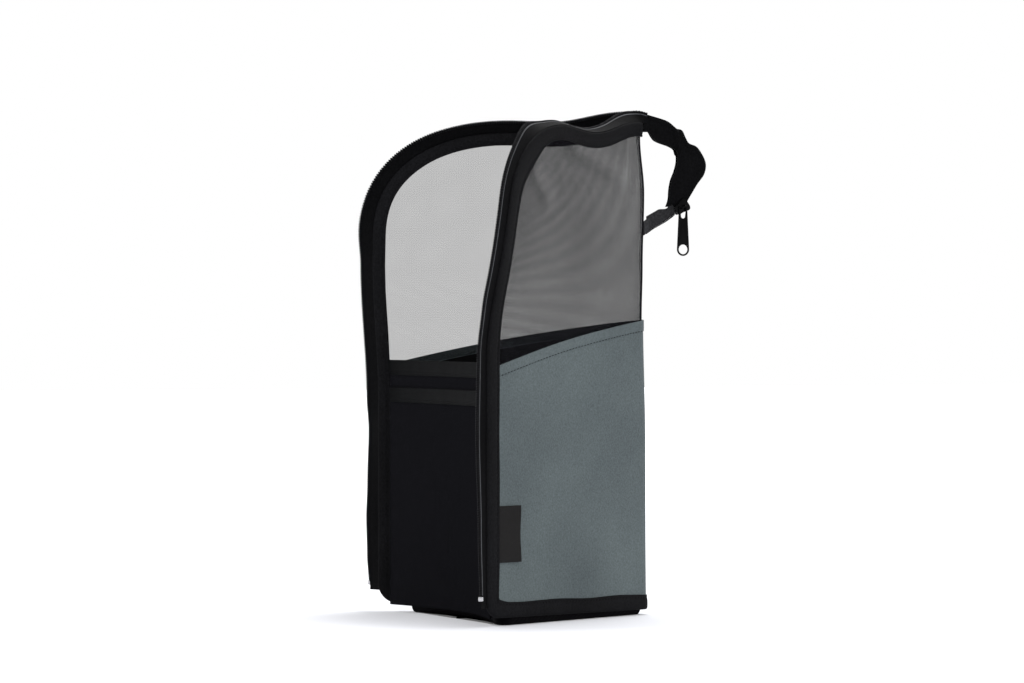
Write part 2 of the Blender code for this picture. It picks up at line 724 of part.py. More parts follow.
def chain_stations(first, last):
    """Places down the chain's line between two distances from the slider's centre."""
    down, _ = chain_line()
    count = round((last - first) / (LOOP_RIB_PITCH / 2))
    return [(Vector(SLIDER_AT) + down * d, d) for d in steps(first, last, count)]


def loop_foot(black, nylon):
    """Closed chain below the slider, and both tapes folded together into the strap beside it."""
    down, across = chain_line()
    end = LOOP_AXIS_Y - SPINE_FACE_Y + PIVOT_RADIUS + SEAT_GAP

    def to_end(reach):
        """How far down the line a point reach across it comes level with the loop's axis."""
        return (end - SLIDER_AT[0] - across.x * reach) / down.x

    first = POST_LENGTH - SLIDER_LENGTH / 2 + 4 * SEAT_GAP
    last = to_end(COIL_WIDTH / 2)
    rings = ribbed_rings(
        chain_stations(first, last),
        lambda station, reach, out: behind(station[0] - across * (reach - COIL_WIDTH / 2), out),
        0.0,
        COIL_WIDTH,
        COIL_THICK,
    )
    loft("loop_chain", rings, nylon)
    half = LOOP_TAPE + SEAT_GAP / 2
    near = COIL_WIDTH / 2 + SEAT_GAP
    far = near + STRAP_WIDTH
    corners = ((near, -half), (near, half), (far, half), (far, -half))
    rings = []
    for ends in ([SLIDER_LENGTH / 2 + SEAT_GAP] * 4, [to_end(reach) for reach, _ in corners]):
        places = [(Vector(SLIDER_AT) + down * d + across * reach, x) for d, (reach, x) in zip(ends, corners)]
        rings.append([behind(point, x) for point, x in places])
    loft("loop_strap", rings, black)


def spine_strip(name, side, near, far, low, high, thick, strip_material):
    """A strip of the zipper over the spine's top, from a side's edge to the root of the loop. It
    starts near to far beyond the binding's fold and ends low to high over the floor."""
    half = thick / 2
    top = edge_height(RIGHT, PANEL_LENGTH)
    begin = PANEL_LENGTH + 2 * SEAT_GAP
    end_y = SPINE_FACE_Y + LEAF_OUT + SEAT_GAP / 3
    inner, outer = side * SEAT_GAP, side * (SEAT_GAP + thick)
    corners = [
        ((near, -half), (inner, low)),
        ((near, half), (outer, low)),
        ((far, half), (outer, high)),
        ((far, -half), (inner, high)),
    ]
    rings = []
    for share in steps(0, 1, 10):
        ring = []
        for place, (x, z) in corners:
            ring.append(tape_place(side, begin, top, 0.0, 1.0, *place).lerp(Vector((x, end_y, z)), share))
        rings.append(ring)
    return loft(name, rings, strip_material)


def spine_tapes(black, nylon):
    """The zipper's tapes and coils where they cross over the spine to the root of the loop."""
    near = SEAT_GAP + TAPE_REACH
    foot = edge_height(RIGHT, PANEL_LENGTH) + 2 * SEAT_GAP
    top = foot + TAPE_REACH * TAPE_GATHER
    for side in (LEFT, RIGHT):
        name = SIDE_NAME[side]
        spine_strip(f"spine_tape_{name}", side, SEAT_GAP, near, foot, top, TAPE_THICK, black)
        low = top + COIL_SEAT
        ends = (near + COIL_SEAT, near + COIL_SEAT + COIL_WIDTH, low, low + COIL_WIDTH)
        spine_strip(f"spine_coil_{name}", side, *ends, COIL_THICK * COIL_FLAT, nylon)


def pivot_post(name, low, high, face_y, half_width, black):
    """The sewn end of the loop: a fold of tape from face_y back to the line it swings about."""
    rings = []
    angles = steps(0.0, math.pi, 6)
    for z in (low, high):
        ring = [
            (PIVOT_RADIUS * math.cos(a), LOOP_AXIS_Y + PIVOT_RADIUS * math.sin(a) * 0.7, z) for a in angles
        ]
        ring += [(-half_width, face_y, z), (half_width, face_y, z)]
        rings.append(ring)
    return loft(name, rings, black)


def slider_body(metal):
    """Zipper slider: two plates joined by a post, with flanges at their sides and a bridge on top."""
    down, across = chain_line()
    along = Vector((0.0, down.x, down.y))
    sideways = Vector((0.0, across.x, across.y))
    centre = behind(SLIDER_AT)
    half = SLIDER_LENGTH / 2

    def block(corners, low, high):
        bm = bmesh.new()
        places = [centre + along * a + sideways * b + Vector((low, 0, 0)) for a, b in corners]
        face = bm.faces.new([bm.verts.new(p) for p in places])
        made = bmesh.ops.extrude_face_region(bm, geom=[face])
        lifted = [v for v in made["geom"] if isinstance(v, bmesh.types.BMVert)]
        bmesh.ops.translate(bm, verts=lifted, vec=(high - low, 0, 0))
        return finish("slider_block", bm, metal)

    wide, narrow = SLIDER_WIDE / 2, SLIDER_NARROW / 2
    plate = [(-half, -wide * 0.55), (-half * 0.7, -wide), (half * 0.3, -narrow), (half, -narrow * 0.9)]
    plate += [(a, -b) for a, b in reversed(plate)]
    flange = [(-half * 0.6, wide * 0.96), (half * 0.3, narrow), (half, narrow * 0.9)]
    flange += [(a, b - PLATE * 0.8) for a, b in reversed(flange)]
    room = CHANNEL / 2
    blocks = []
    for side in (1, -1):
        blocks.append(block(plate, side * room, side * (room + PLATE)))
        for edge in (1, -1):
            corners = [(a, b * edge) for a, b in flange]
            blocks.append(block(corners, side * (room - FLANGE), side * (room + PLATE / 2)))
    post = [(-half * 0.95, 0.0), (-half + POST_LENGTH / 2, POST_WIDTH / 2), (-half + POST_LENGTH, 0.0)]
    post.append((-half + POST_LENGTH / 2, -POST_WIDTH / 2))
    blocks.append(block(post, -room - PLATE / 2, room + PLATE / 2))
    top = room + PLATE
    span = BRIDGE_WIDTH / 2
    for a in (-BRIDGE_HALF, BRIDGE_HALF):
        foot = [(a - BRIDGE_FOOT / 2, -span), (a - BRIDGE_FOOT / 2, span), (a + BRIDGE_FOOT / 2, span)]
        foot.append((a + BRIDGE_FOOT / 2, -span))
        blocks.append(block(foot, room + PLATE / 2, top + BRIDGE_ROOM + BRIDGE_THICK / 2))
    end = BRIDGE_HALF + BRIDGE_END
    beam = [(-end, -span * 0.9), (-end, span * 0.9), (end, span * 0.9), (end, -span * 0.9)]
    blocks.append(block(beam, top + BRIDGE_ROOM, top + BRIDGE_ROOM + BRIDGE_THICK))
    body = blocks[0]
    body.name = "slider_body"
    for other in blocks[1:]:
        other.hide_render = True
        other.display_type = "WIRE"
        join = body.modifiers.new("join", "BOOLEAN")
        join.operation = "UNION"
        join.object = other
    return body


def pull_tab(metal):
    """Long pull tab, hanging by the bar at its top from the slider's bridge."""
    bar = behind(SLIDER_AT, TAB_BAR_X)
    foot_radius = TAB_FOOT_WIDTH / 2
    foot_centre = TAB_BAR / 2 - TAB_LENGTH + foot_radius

    def outline(name, points, thick):
        bm = bmesh.new()
        face = bm.faces.new([bm.verts.new(bar + Vector((-thick / 2, y, z))) for y, z in points])
        made = bmesh.ops.extrude_face_region(bm, geom=[face])
        lifted = [v for v in made["geom"] if isinstance(v, bmesh.types.BMVert)]
        bmesh.ops.translate(bm, verts=lifted, vec=(thick, 0, 0))
        return finish(name, bm, metal)

    def arc(radius, z, first, last, count):
        return [(radius * math.cos(a), z + radius * math.sin(a)) for a in steps(first, last, count)]

    top = TAB_TOP_WIDTH / 2
    corner = TAB_BAR * 0.6
    shape = arc(foot_radius, foot_centre, -math.pi, 0.0, 14)
    shape += [(top, TAB_BAR / 2 - corner), (top - corner, TAB_BAR / 2)]
    shape += [(corner - top, TAB_BAR / 2), (-top, TAB_BAR / 2 - corner)]
    tab = outline("pull_tab", shape, TAB_THICK)
    eye_radius = TAB_EYE_WIDTH * 0.3
    eye = arc(eye_radius, -TAB_BAR / 2 - TAB_EYE_HEIGHT + eye_radius, -math.pi, 0.0, 6)
    eye += [(TAB_EYE_WIDTH / 2, -TAB_BAR / 2), (-TAB_EYE_WIDTH / 2, -TAB_BAR / 2)]
    hole = arc(TAB_HOLE / 2, foot_centre, 0.0, 2 * math.pi, 18)[:-1]
    for name, points in (("tab_eye", eye), ("tab_hole", hole)):
        cutter = outline(name, points, 3 * TAB_THICK)
        cutter.hide_render = True
        cutter.display_type = "WIRE"
        cut = tab.modifiers.new(name, "BOOLEAN")
        cut.object = cutter
    return tab


def hang_on(name, place, pieces):
    """A parent empty on a joint's axis, for the pieces that move together about it."""
    empty = bpy.data.objects.new(name, None)
    empty.location = place
    bpy.context.scene.collection.objects.link(empty)
    for piece in pieces:
        piece.parent = empty
        piece.matrix_parent_inverse = Matrix.Translation(-place)


def main():
    for old in list(bpy.data.objects):
        bpy.data.objects.remove(old)
    grey = material("grey_cloth", (0.122, 0.150, 0.153), 0.85)
    net = material("black_mesh", (0.030, 0.030, 0.034), 0.80)
    black = material("black_binding", (0.014, 0.014, 0.015), 0.80)
    dark = material("black_base_cloth", (0.007, 0.006, 0.008), 0.85)
    lining = material("black_lining", (0.005, 0.005, 0.005), 0.80)
    tape = material("zipper_tape", (0.018, 0.018, 0.020), 0.75)
    nylon = material("zipper_coil", (0.070, 0.070, 0.072), 0.40)
    steel = material("end_stop_metal", (0.62, 0.62, 0.63), 0.30, 1.0)
    enamel = material("black_enamel", (0.010, 0.010, 0.011), 0.40, 0.3)
    label = material("label_cloth", (0.020, 0.020, 0.021), 0.75)
    for side in (LEFT, RIGHT):
        side_panels(side, grey, net, lining)
        edge_binding(side, black)
        zip_tape(side, tape)
        zip_coil(side, nylon)
        end_stop(side, steel)
    side_label(label)
    spine_pieces(grey, net, black)
    front_pocket("gusset", GUSSET_SEAT, GUSSET_TOP, net, black)
    front_pocket("pocket", POCKET_SEAT, POCKET_TOP, net, black)
    base(dark)
    loop_pieces(tape, nylon)
    loop_foot(tape, nylon)
    spine_tapes(tape, nylon)
    pivot_post("loop_root", *LOOP_TOP, SPINE_FACE_Y + LEAF_OUT + SEAT_GAP, ROOT_HALF_WIDTH, tape)
    foot = CHAIN_FOOT[1] - COIL_WIDTH / 2
    anchor_top = foot + (STRAP_WIDTH + 2 * COIL_WIDTH) / abs(chain_line()[0].x)
    pivot_post("loop_anchor", foot, anchor_top, SPINE_FACE_Y + MESH_OUT + SEAT_GAP, ANCHOR_HALF_WIDTH, tape)
    slider = slider_body(enamel)
    tab = pull_tab(enamel)
    for side in (LEFT, RIGHT):
        prefix = SIDE_NAME[side] + "_"
        pieces = [o for o in bpy.data.objects if o.name.startswith(prefix)]
        if side == RIGHT:
            pieces.append(bpy.data.objects["side_label"])
        hang_on(prefix + "fold_axis", Vector((0, SPINE_AXIS_Y, 0)), pieces)
    loop = [o for o in bpy.data.objects if o.name.startswith(("loop_tape", "loop_coil"))]
    loop += [bpy.data.objects["loop_chain"], bpy.data.objects["loop_strap"]]
    hang_on("loop_axis", Vector((0, LOOP_AXIS_Y, 0)), loop)
    hang_on("slider_run", behind(SLIDER_AT), [slider])
    hang_on("tab_axis", behind(SLIDER_AT, TAB_BAR_X), [tab])


main()
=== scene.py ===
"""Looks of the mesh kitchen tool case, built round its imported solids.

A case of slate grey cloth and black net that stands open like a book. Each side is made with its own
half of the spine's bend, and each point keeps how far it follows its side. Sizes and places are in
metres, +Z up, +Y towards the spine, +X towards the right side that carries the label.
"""

import json
import math

import bmesh
import bpy
from mathutils import Matrix, Vector, noise

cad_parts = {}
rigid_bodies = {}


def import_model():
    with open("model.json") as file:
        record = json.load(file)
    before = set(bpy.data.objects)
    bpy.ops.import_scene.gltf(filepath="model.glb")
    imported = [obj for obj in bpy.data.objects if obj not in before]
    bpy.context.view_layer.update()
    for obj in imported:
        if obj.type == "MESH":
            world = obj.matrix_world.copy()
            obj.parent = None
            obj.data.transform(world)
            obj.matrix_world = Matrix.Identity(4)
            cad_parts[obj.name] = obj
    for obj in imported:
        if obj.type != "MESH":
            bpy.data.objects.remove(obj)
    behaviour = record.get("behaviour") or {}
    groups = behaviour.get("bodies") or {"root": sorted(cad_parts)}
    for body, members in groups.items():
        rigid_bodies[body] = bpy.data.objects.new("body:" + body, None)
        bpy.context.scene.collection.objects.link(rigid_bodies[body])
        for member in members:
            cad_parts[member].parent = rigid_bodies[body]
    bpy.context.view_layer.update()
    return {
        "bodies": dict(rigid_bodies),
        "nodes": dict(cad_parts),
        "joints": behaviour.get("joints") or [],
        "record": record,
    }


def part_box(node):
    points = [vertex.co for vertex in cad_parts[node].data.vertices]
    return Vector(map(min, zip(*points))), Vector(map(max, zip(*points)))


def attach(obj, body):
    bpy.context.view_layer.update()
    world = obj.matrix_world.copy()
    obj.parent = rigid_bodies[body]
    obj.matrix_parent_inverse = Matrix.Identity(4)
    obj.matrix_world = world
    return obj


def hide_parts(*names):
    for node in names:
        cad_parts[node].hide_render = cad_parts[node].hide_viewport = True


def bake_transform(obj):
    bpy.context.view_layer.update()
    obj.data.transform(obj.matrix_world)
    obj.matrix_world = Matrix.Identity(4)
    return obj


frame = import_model()

RIGHT, LEFT = 1, -1
NAME = {RIGHT: "right", LEFT: "left"}
UP = Vector((0, 0, 1))

# Plan and heights of the case. FOLD is how far a side turns until it lies on the middle plane.
HALF_OPENING = math.radians(32)
FOLD, FOLD_GAP, FOLD_LEVER = math.radians(34.2), 0.0008, 0.004
PANEL_LENGTH = 0.177
SPINE_RADIUS = 0.009
SPINE_AXIS = Vector((0, 0.068, 0))
FRONT_LIFT, SPINE_LIFT = 0.0056, 0.0034
EDGE_U, EDGE_TOP = 0.0098, 0.309
CORNER_HEIGHT = 0.067
CORNER_POWER = 2.25
CORNER_LENGTH = {RIGHT: 0.074, LEFT: 0.089}
FOOT_RADIUS = 0.0125
SPINE_RISE, RISE_FROM = 0.0065, 0.35
TOP_RAISE = {RIGHT: 0.0020, LEFT: 0.0008}
TOP_DIP = {RIGHT: 0.0032, LEFT: 0.0008}
DIP_PLACE = 0.75
FLARE = {RIGHT: 0.0175, LEFT: 0.0040}
FLARE_FROM, FLARE_RISE, FLARE_POWER = 0.166, 0.098, 1.5
LEAN = {RIGHT: 0.0, LEFT: 0.0045}
LEAN_FROM, LEAN_RISE = 0.140, 0.090
TIGHT = {RIGHT: 0.0, LEFT: 0.0003}
SWAY = ((0.0, 0.0006), (0.110, 0.0002), (0.190, -0.0015))
SWAY += ((0.224, -0.0008), (0.270, 0.0003), (0.306, -0.0026))
SWAY_RUN = 0.045

# Wrinkles: where the cloth is held flat, as a start and a run, how high they are and how close
HELD_FRONT, HELD_SPINE, HELD_FOOT, HELD_TOP = (0.006, 0.03), 0.02, (0.01, 0.03), (0.30, 0.05)
CALM_FROM, CALM_RUN, CALM = 0.16, 0.04, 0.6
WRINKLE, WRINKLE_ALONG, WRINKLE_UP = 0.0017, 17, 13
RIPPLE, RIPPLE_ALONG, RIPPLE_SLANT, RIPPLE_UP = 0.00014, 70, 18, 46
FOLD_FADE = 0.15
RIGHT_FOLDS = (
    (0.0012, (0.090, 0.300), (0.158, 0.280), 0.0070),
    (0.0007, (0.044, 0.283), (0.066, 0.262), 0.0065),
)

# Cloth, net, hem and stitches
CLOTH = 0.0006
NET = 0.0004
LAYER_GAP = 0.0003
CLOTH_IN = 0.00005
NET_OUT = CLOTH_IN - LAYER_GAP
UNDER_BINDING, NET_UNDER_BINDING = 0.0008, 0.0017
GREY_FRONT, GREY_SLOPE, GREY_SAG = 0.161, 0.245, 0.45
HEM, HEM_THICK, HEM_EDGE, HEM_STEP, HEM_SHOWN = 0.0071, 0.0005, 0.0004, 0.0005, 0.003
HEM_STITCH, STITCH_SINK, STITCH_DENT, STITCH_OUT = 0.0066, 0.00022, 0.0004, 0.0003
HEM_ROWS = (HEM + 0.0001, HEM - 0.0002, HEM_STITCH, HEM_STITCH - STITCH_DENT, 0.0045, 0.0020, 0.0004, 0.0)
HEM_TOP_ROW = 0.0080
CLOTH_PITCH, NET_PITCH, LINING_PITCH = 0.0025, 0.003, 0.004
NUDGE = 0.001
NET_OVERLAP = 0.0055
STITCH_PITCH, STITCH_LENGTH, THREAD = 0.0032, 0.0024, 0.00026

# Binding: the leaves' widths by place, and the wider outer leaf at the right side's top corner
BINDING_WIDTH = 0.0115
LEAF_OUT = 0.0015
LEAF_FRONT, LEAF_TOP, LEAF_FOOT, LEAF_IN, LEAF_WAVE = 0.0126, 0.0096, 0.0098, 0.0082, 0.0007
LEAF_CORNER, LEAF_CORNER_U, LEAF_CORNER_RUN = 0.0026, 0.034, 0.018
LEAF_HIGH, LEAF_LOW, LEAF_TOP_RUN, LEAF_FOOT_RUN = (0.2, 0.05), (-0.03, 0.01), (0.014, 0.045), (0.004, 0.02)
LEAF_STITCH_OUT, SEWN_END_POINTS = 0.00122, 6
SECTION_WIDTH, SECTION_STITCH = 0.0116, 0.0095
POINTS_PER_STITCH, PUCKER, PUCKER_RUN = 4, 0.00009, 0.0016
PLUMP, PLUMPS, PLUMPS_ACROSS, LEAF_WAVES = 0.00014, 60, 90, 30

# Zipper: reaches are from the binding's fold, and the curl runs as pairs of a height and degrees
TAPE_FROM, TAPE_TO, TAPE_THICK = -0.0006, 0.0084, 0.0007
COIL_SEAM, SEAM_HALF_WIDTH, SEAM_HALF_THICK = 0.0067, 0.00034, 0.00020
COIL_FROM, COIL_WIDTH, COIL_THICK, COIL_PITCH = 0.0073, 0.0025, 0.0022, 0.0015
COIL_STEP, TAPE_STEP = 0.0005, 0.002
WIRE, CORE_HALF, CORE_NEAR, CORE_FAR = 0.00034, 0.0005, 0.0003, 0.0006
TAPE_CURL = {RIGHT: math.radians(75), LEFT: math.radians(40)}
FRONT_CURL = {
    RIGHT: ((0.015, -15), (0.060, -8), (0.120, 3), (0.185, -5), (0.208, 2), (0.245, 8)),
    LEFT: ((0.015, -38), (0.037, -26), (0.060, -20), (0.083, -28), (0.118, -36), (0.140, -24)),
}
FRONT_CURL[LEFT] += ((0.224, -20), (0.262, 28))
CURL_FROM, CURL_RUN = 0.024, 0.046
SPINE_CURL, SPINE_CURL_RUN = math.radians(45), 0.035
ZIP_FOOT = 0.0165
TAPE_TAIL = {RIGHT: 0.0045, LEFT: 0.0029}
STOP_LENGTH, STOP_THICK, STOP_PINCH, STOP_GAP = 0.0032, 0.0026, 0.16, 0.0003
SPINE_NARROWING = 0.38
SPINE_HALF_GAP, SPINE_TAPE_OUT, SPINE_TAPE_UP = 0.00065, 0.0012, 0.0003

# Pockets and base
GUSSET_TOP, POCKET_TOP, POCKET_FLAT = 0.163, 0.1455, 0.095
BOW_TOP, BOW_FOOT, BOW_POWER = 0.003, 0.015, 1.6
FRONT_SAG, FRONT_SAGS, FRONT_RIPPLE, FRONT_RIPPLES = 0.0012, (5.0, 22, 300), 0.0003, (16.0, 70, 500)
FRONT_FLAT = 0.187
FRONT_FOOT = 0.0045
BAND_DEEP, BAND_SEAM, BAND_STITCH_OUT, BAND_STITCHES = 0.0098, 0.0082, 0.00072, 28
GUSSET_SEAT = 0.0083
POCKET_IN, POCKET_OUT, NET_HALF = 0.016, 0.0011, 0.0002
BASE_THICK, BASE_ROUND, BASE_RIM, BASE_CORNER = 0.0012, 0.0030, 0.0040, 0.0070
BASE_AHEAD, BASE_BULGE, BASE_BULGES, BASE_GAP = 0.0028, 0.0009, 55, 0.0003

# Label: sizes, how far it lifts at its free edge, and how far it is tucked under the binding
LABEL_WIDTH, LABEL_LOW, LABEL_HIGH, LABEL_THICK = 0.0245, 0.0395, 0.0745, 0.0006
LABEL_LIFT, LABEL_WAVE, LABEL_FOLD, LABEL_TUCK = 0.0009, 0.00025, 0.00012, 0.0009
LABEL_UNDER, LABEL_OUT, LABEL_FOLD_RUN, LABEL_TUCK_RUN = 0.002, 0.0002, 0.05, 0.16

# Loop, slider and pull tab: places are distances behind the spine's face and heights
SPINE_FACE_Y = 0.077
LOOP_AXIS_Y = 0.0803
LOOP_TOP = (0.3095, 0.3205)
LOOP_OUTER = [(0.0151, 0.3170), (0.0216, 0.3123), (0.0265, 0.3108), (0.0293, 0.3058)]
LOOP_OUTER += [(0.0315, 0.3026), (0.0375, 0.2998), (0.0428, 0.2909), (0.0422, 0.2830)]
LOOP_OUTER += [(0.0370, 0.2758), (0.0316, 0.2675), (0.0295, 0.2625)]
LOOP_INNER = [(0.0080, 0.3039), (0.0175, 0.3004), (0.0213, 0.2984), (0.0228, 0.2963)]
LOOP_INNER += [(0.0235, 0.2934), (0.0233, 0.2895), (0.0216, 0.2840), (0.0194, 0.2785)]
LOOP_INNER += [(0.0182, 0.2725), (0.0176, 0.2665), (0.0155, 0.2615)]
LOOP_STEPS = 120
LOOP_WRAP, LOOP_TAPE, LOOP_UPPER, LOOP_UNDER = 0.0031, 0.011, 0.00085, 0.00020
LOOP_OPEN, LOOP_RISE, LOOP_CRUMPLE, LOOP_GROOVE = 0.0004, 0.0015, 0.0005, 0.0004
LOOP_START_RUN, LOOP_END_RUN, LOOP_THIN_RUN, LOOP_END_THICK = 0.12, 0.14, 0.10, 0.55
LOOP_FOLD, LOOP_FOLD_SLANT, LOOP_FOLD_RISE, LOOP_FOLD_FALL = 0.17, 0.23, (0.16, 0.14), 0.035
LOOP_GROOVE_AT, LOOP_GROOVE_SLANT, LOOP_GROOVE_WIDTH, LOOP_GROOVE_FROM = 0.52, 0.2, 0.07, (0.45, 0.1)
LOOP_COIL, LOOP_COIL_HALF, LOOP_COIL_OUT, LOOP_WIRE = (0.0008, 0.0024), 0.0004, 0.0006, 0.00028
CHAIN_FOOT, SLIDER_AT = (0.0006, 0.2440), (0.0265, 0.2615)
CHAIN_SAG, CHAIN_SAG_RUN, CHAIN_LIFT, CHAIN_LIFT_RUN = 0.0011, (0.012, 0.014), 0.0010, (0.003, 0.006)
CHAIN_BEFORE, CHAIN_PAST, CHAIN_TIGHTER = 0.0012, 0.002, 1.5
STRAP_NEAR, STRAP_WIDTH, STRAP_FROM = 0.0061, 0.0087, 0.0045
STRAP_RIBS, STRAP_HALF, STRAP_RIB, STRAP_RISE = 11, 0.00062, 0.00016, 0.0006
STRAP_PAST, STRAP_SLANT, STRAP_OVER, STRAP_EDGE = 0.0010, 0.0056, 0.0002, 0.0003
STRAP_RISE_RUN, STRAP_WIDE_RUN = (0.008, 0.008), (0.0085, 0.006)
SEWN_RADIUS, SEWN_FLAT, SEWN_THICK, SEWN_PULL = 0.0011, 0.8, 0.0004, 0.12
ROOT_SINK, ROOT_HALF, ANCHOR_HALF, ANCHOR_SLOPE = 0.0005, 0.0021, 0.0018, 0.75
ANCHOR_LOWER, ANCHOR_UPPER = 0.0004, 0.0030
SLIDER_LENGTH, SLIDER_WIDE, SLIDER_NARROW = 0.0100, 0.0086, 0.0064
PLATE, CHANNEL, FLANGE, FLANGE_IN = 0.0008, 0.0029, 0.0007, 0.0004
PLATE_ROUND, FLANGE_ROUND, BRIDGE_ROUND = 0.0002, 0.0001, 0.00015
BRIDGE_HALF, BRIDGE_WIDTH, BRIDGE_ROOM, BRIDGE_THICK = 0.0019, 0.00075, 0.0020, 0.0007
TAB_LENGTH, TAB_TOP_WIDTH, TAB_FOOT_WIDTH, TAB_THICK = 0.0318, 0.0057, 0.0084, 0.0008
TAB_BAR, TAB_EYE_WIDTH, TAB_EYE_HEIGHT, TAB_HOLE = 0.0007, 0.0042, 0.0070, 0.0062
TAB_ROUND = 0.00018

# Camera and light
CAMERA_PLACE, CAMERA_AHEAD = (3.1460, -1.2630, 0.203), (-0.92939, 0.36911)
CAMERA_DROP = 43.5 / 5324
LENS, SENSOR = 187.2, 36.0
LAMP_PLACE, LAMP_AIM, LAMP_SIZE, LAMP_POWER = (-0.95, 0.75, 2.6), (0, 0, 0.1), 1.3, 55.0
SKY_SEEN, SKY_LIGHT = 1.0, 1.5
GLOW_FROM, GLOW_TO, GLOW_NEAR = 0.12, 0.6, 0.2

BEND = SPINE_RADIUS * (math.pi / 2 - HALF_OPENING)
SPINE_U = PANEL_LENGTH + BEND


# Materials


def colour(r, g, b):
    """A colour given as the eye reads it, from 0 to 255, as the shader wants it."""
    return (*(((v / 255 + 0.055) / 1.055) ** 2.4 if v > 10 else v / 255 / 12.92 for v in (r, g, b)), 1.0)


def feed(tree, made, sources):
    """Links or sets each input of sources."""
    for key, value in sources.items():
        if isinstance(value, bpy.types.NodeSocket):
            tree.links.new(value, made.inputs[key])
        else:
            made.inputs[key].default_value = value


def node(tree, kind, sources=None, **settings):
    """A node with its settings and its inputs."""
    made = tree.nodes.new("ShaderNode" + kind)
    for key, value in settings.items():
        setattr(made, key, value)
    feed(tree, made, sources or {})
    return made


def maths(tree, operation, *values):
    return node(tree, "Math", dict(enumerate(values)), operation=operation).outputs[0]


def blend_colours(tree, share, first, second, kind="MIX"):
    made = node(tree, "Mix", {0: share, 6: first, 7: second}, data_type="RGBA", blend_type=kind)
    return made.outputs[2]


def ramp(tree, value, low, high, first=0.0, last=1.0):
    """first up to low, last from high on, and an even run between."""
    limits = {"Value": value, "From Min": low, "From Max": high, "To Min": first, "To Max": last}
    return node(tree, "MapRange", limits, clamp=True).outputs[0]


def bump(tree, height, strength, depth):
    return node(tree, "Bump", {"Strength": strength, "Distance": depth, "Height": height}).outputs[0]


def scaled_parts(tree, vector, scale):
    """The first two parts of a vector times scale."""
    scaled = node(tree, "VectorMath", {0: vector, "Scale": scale}, operation="SCALE")
    parts = node(tree, "SeparateXYZ", {0: scaled.outputs[0]})
    return parts.outputs[0], parts.outputs[1]


def effect_group(name, inputs, outputs):
    """A node group with its sockets, and its input and output nodes."""
    group = bpy.data.node_groups.new(name, "ShaderNodeTree")
    for label, kind, start in inputs:
        socket = group.interface.new_socket(name=label, in_out="INPUT", socket_type="NodeSocket" + kind)
        if start is not None:
            socket.default_value = start
    for label in outputs:
        group.interface.new_socket(name=label, in_out="OUTPUT", socket_type="NodeSocketFloat")
    return group, group.nodes.new("NodeGroupInput"), group.nodes.new("NodeGroupOutput")


def make_weave():
    """Plain weave: threads over and under each other, Threads to the metre."""
    inputs = [("Vector", "Vector", None), ("Threads", "Float", 2400.0)]
    tree, given, result = effect_group("plain_weave", inputs, ["Height", "Warp"])
    x, y = scaled_parts(tree, given.outputs["Vector"], given.outputs["Threads"])
    waves = [maths(tree, "SINE", maths(tree, "MULTIPLY", run, math.pi)) for run in (x, y)]
    warp, weft = (maths(tree, "ABSOLUTE", wave) for wave in waves)
    total = maths(tree, "ADD", maths(tree, "FLOOR", x), maths(tree, "FLOOR", y))
    over = maths(tree, "FLOORED_MODULO", total, 2.0)
    front = maths(tree, "MULTIPLY", warp, over)
    back = maths(tree, "MULTIPLY", weft, maths(tree, "SUBTRACT", 1.0, over))
    feed(tree, result, {"Height": maths(tree, "ADD", front, back), "Warp": over})
    return tree


def make_net():
    """Square net of fine threads with heavier ones at every fifth. Mask is 1 on a thread. Slant above
    1 widens the upright threads, as they look from the side."""
    inputs = [("Vector", "Vector", None), ("Pitch", "Float", 0.0006)]
    inputs += [("Thread", "Float", 0.3), ("Slant", "Float", 1.0)]
    every, more, least, soft = 5, 0.16, 0.95, 0.25
    tree, given, result = effect_group("square_net", inputs, ["Mask", "Height"])
    holes = maths(tree, "DIVIDE", 1.0, given.outputs["Pitch"])
    x, y = scaled_parts(tree, given.outputs["Vector"], holes)
    covers, heights = [], []
    for run, widen in ((x, given.outputs["Slant"]), (y, 1.0)):
        away = maths(tree, "PINGPONG", run, 0.5)
        beat = maths(tree, "COSINE", maths(tree, "MULTIPLY", run, 2 * math.pi / every))
        heavy = maths(tree, "MULTIPLY_ADD", maths(tree, "MAXIMUM", beat, 0.0), more, least)
        half = maths(tree, "MULTIPLY", maths(tree, "MULTIPLY", given.outputs["Thread"], 0.5), widen)
        half = maths(tree, "MULTIPLY", half, heavy)
        near, far = maths(tree, "SUBTRACT", half, soft), maths(tree, "ADD", half, soft)
        covers.append(ramp(tree, away, near, far, 1.0, 0.0))
        heights.append(maths(tree, "SUBTRACT", 0.5, away))
    mask, height = maths(tree, "MAXIMUM", *covers), maths(tree, "MAXIMUM", *heights)
    feed(tree, result, {"Mask": mask, "Height": height})
    return tree


def make_fade():
    """Soft uneven tone over a surface: broad patches with finer fibres in them."""
    inputs = [("Vector", "Vector", None), ("Patches", "Float", 14.0), ("Fibres", "Float", 900.0)]
    tree, given, result = effect_group("uneven_tone", inputs, ["Tone", "Fibre"])
    vector = given.outputs["Vector"]
    broad = node(tree, "TexNoise", {"Vector": vector, "Scale": given.outputs["Patches"], "Detail": 3.0})
    fine = node(tree, "TexNoise", {"Vector": vector, "Scale": given.outputs["Fibres"], "Detail": 2.0})
    feed(tree, result, {"Tone": broad.outputs[0], "Fibre": fine.outputs[0]})
    return tree


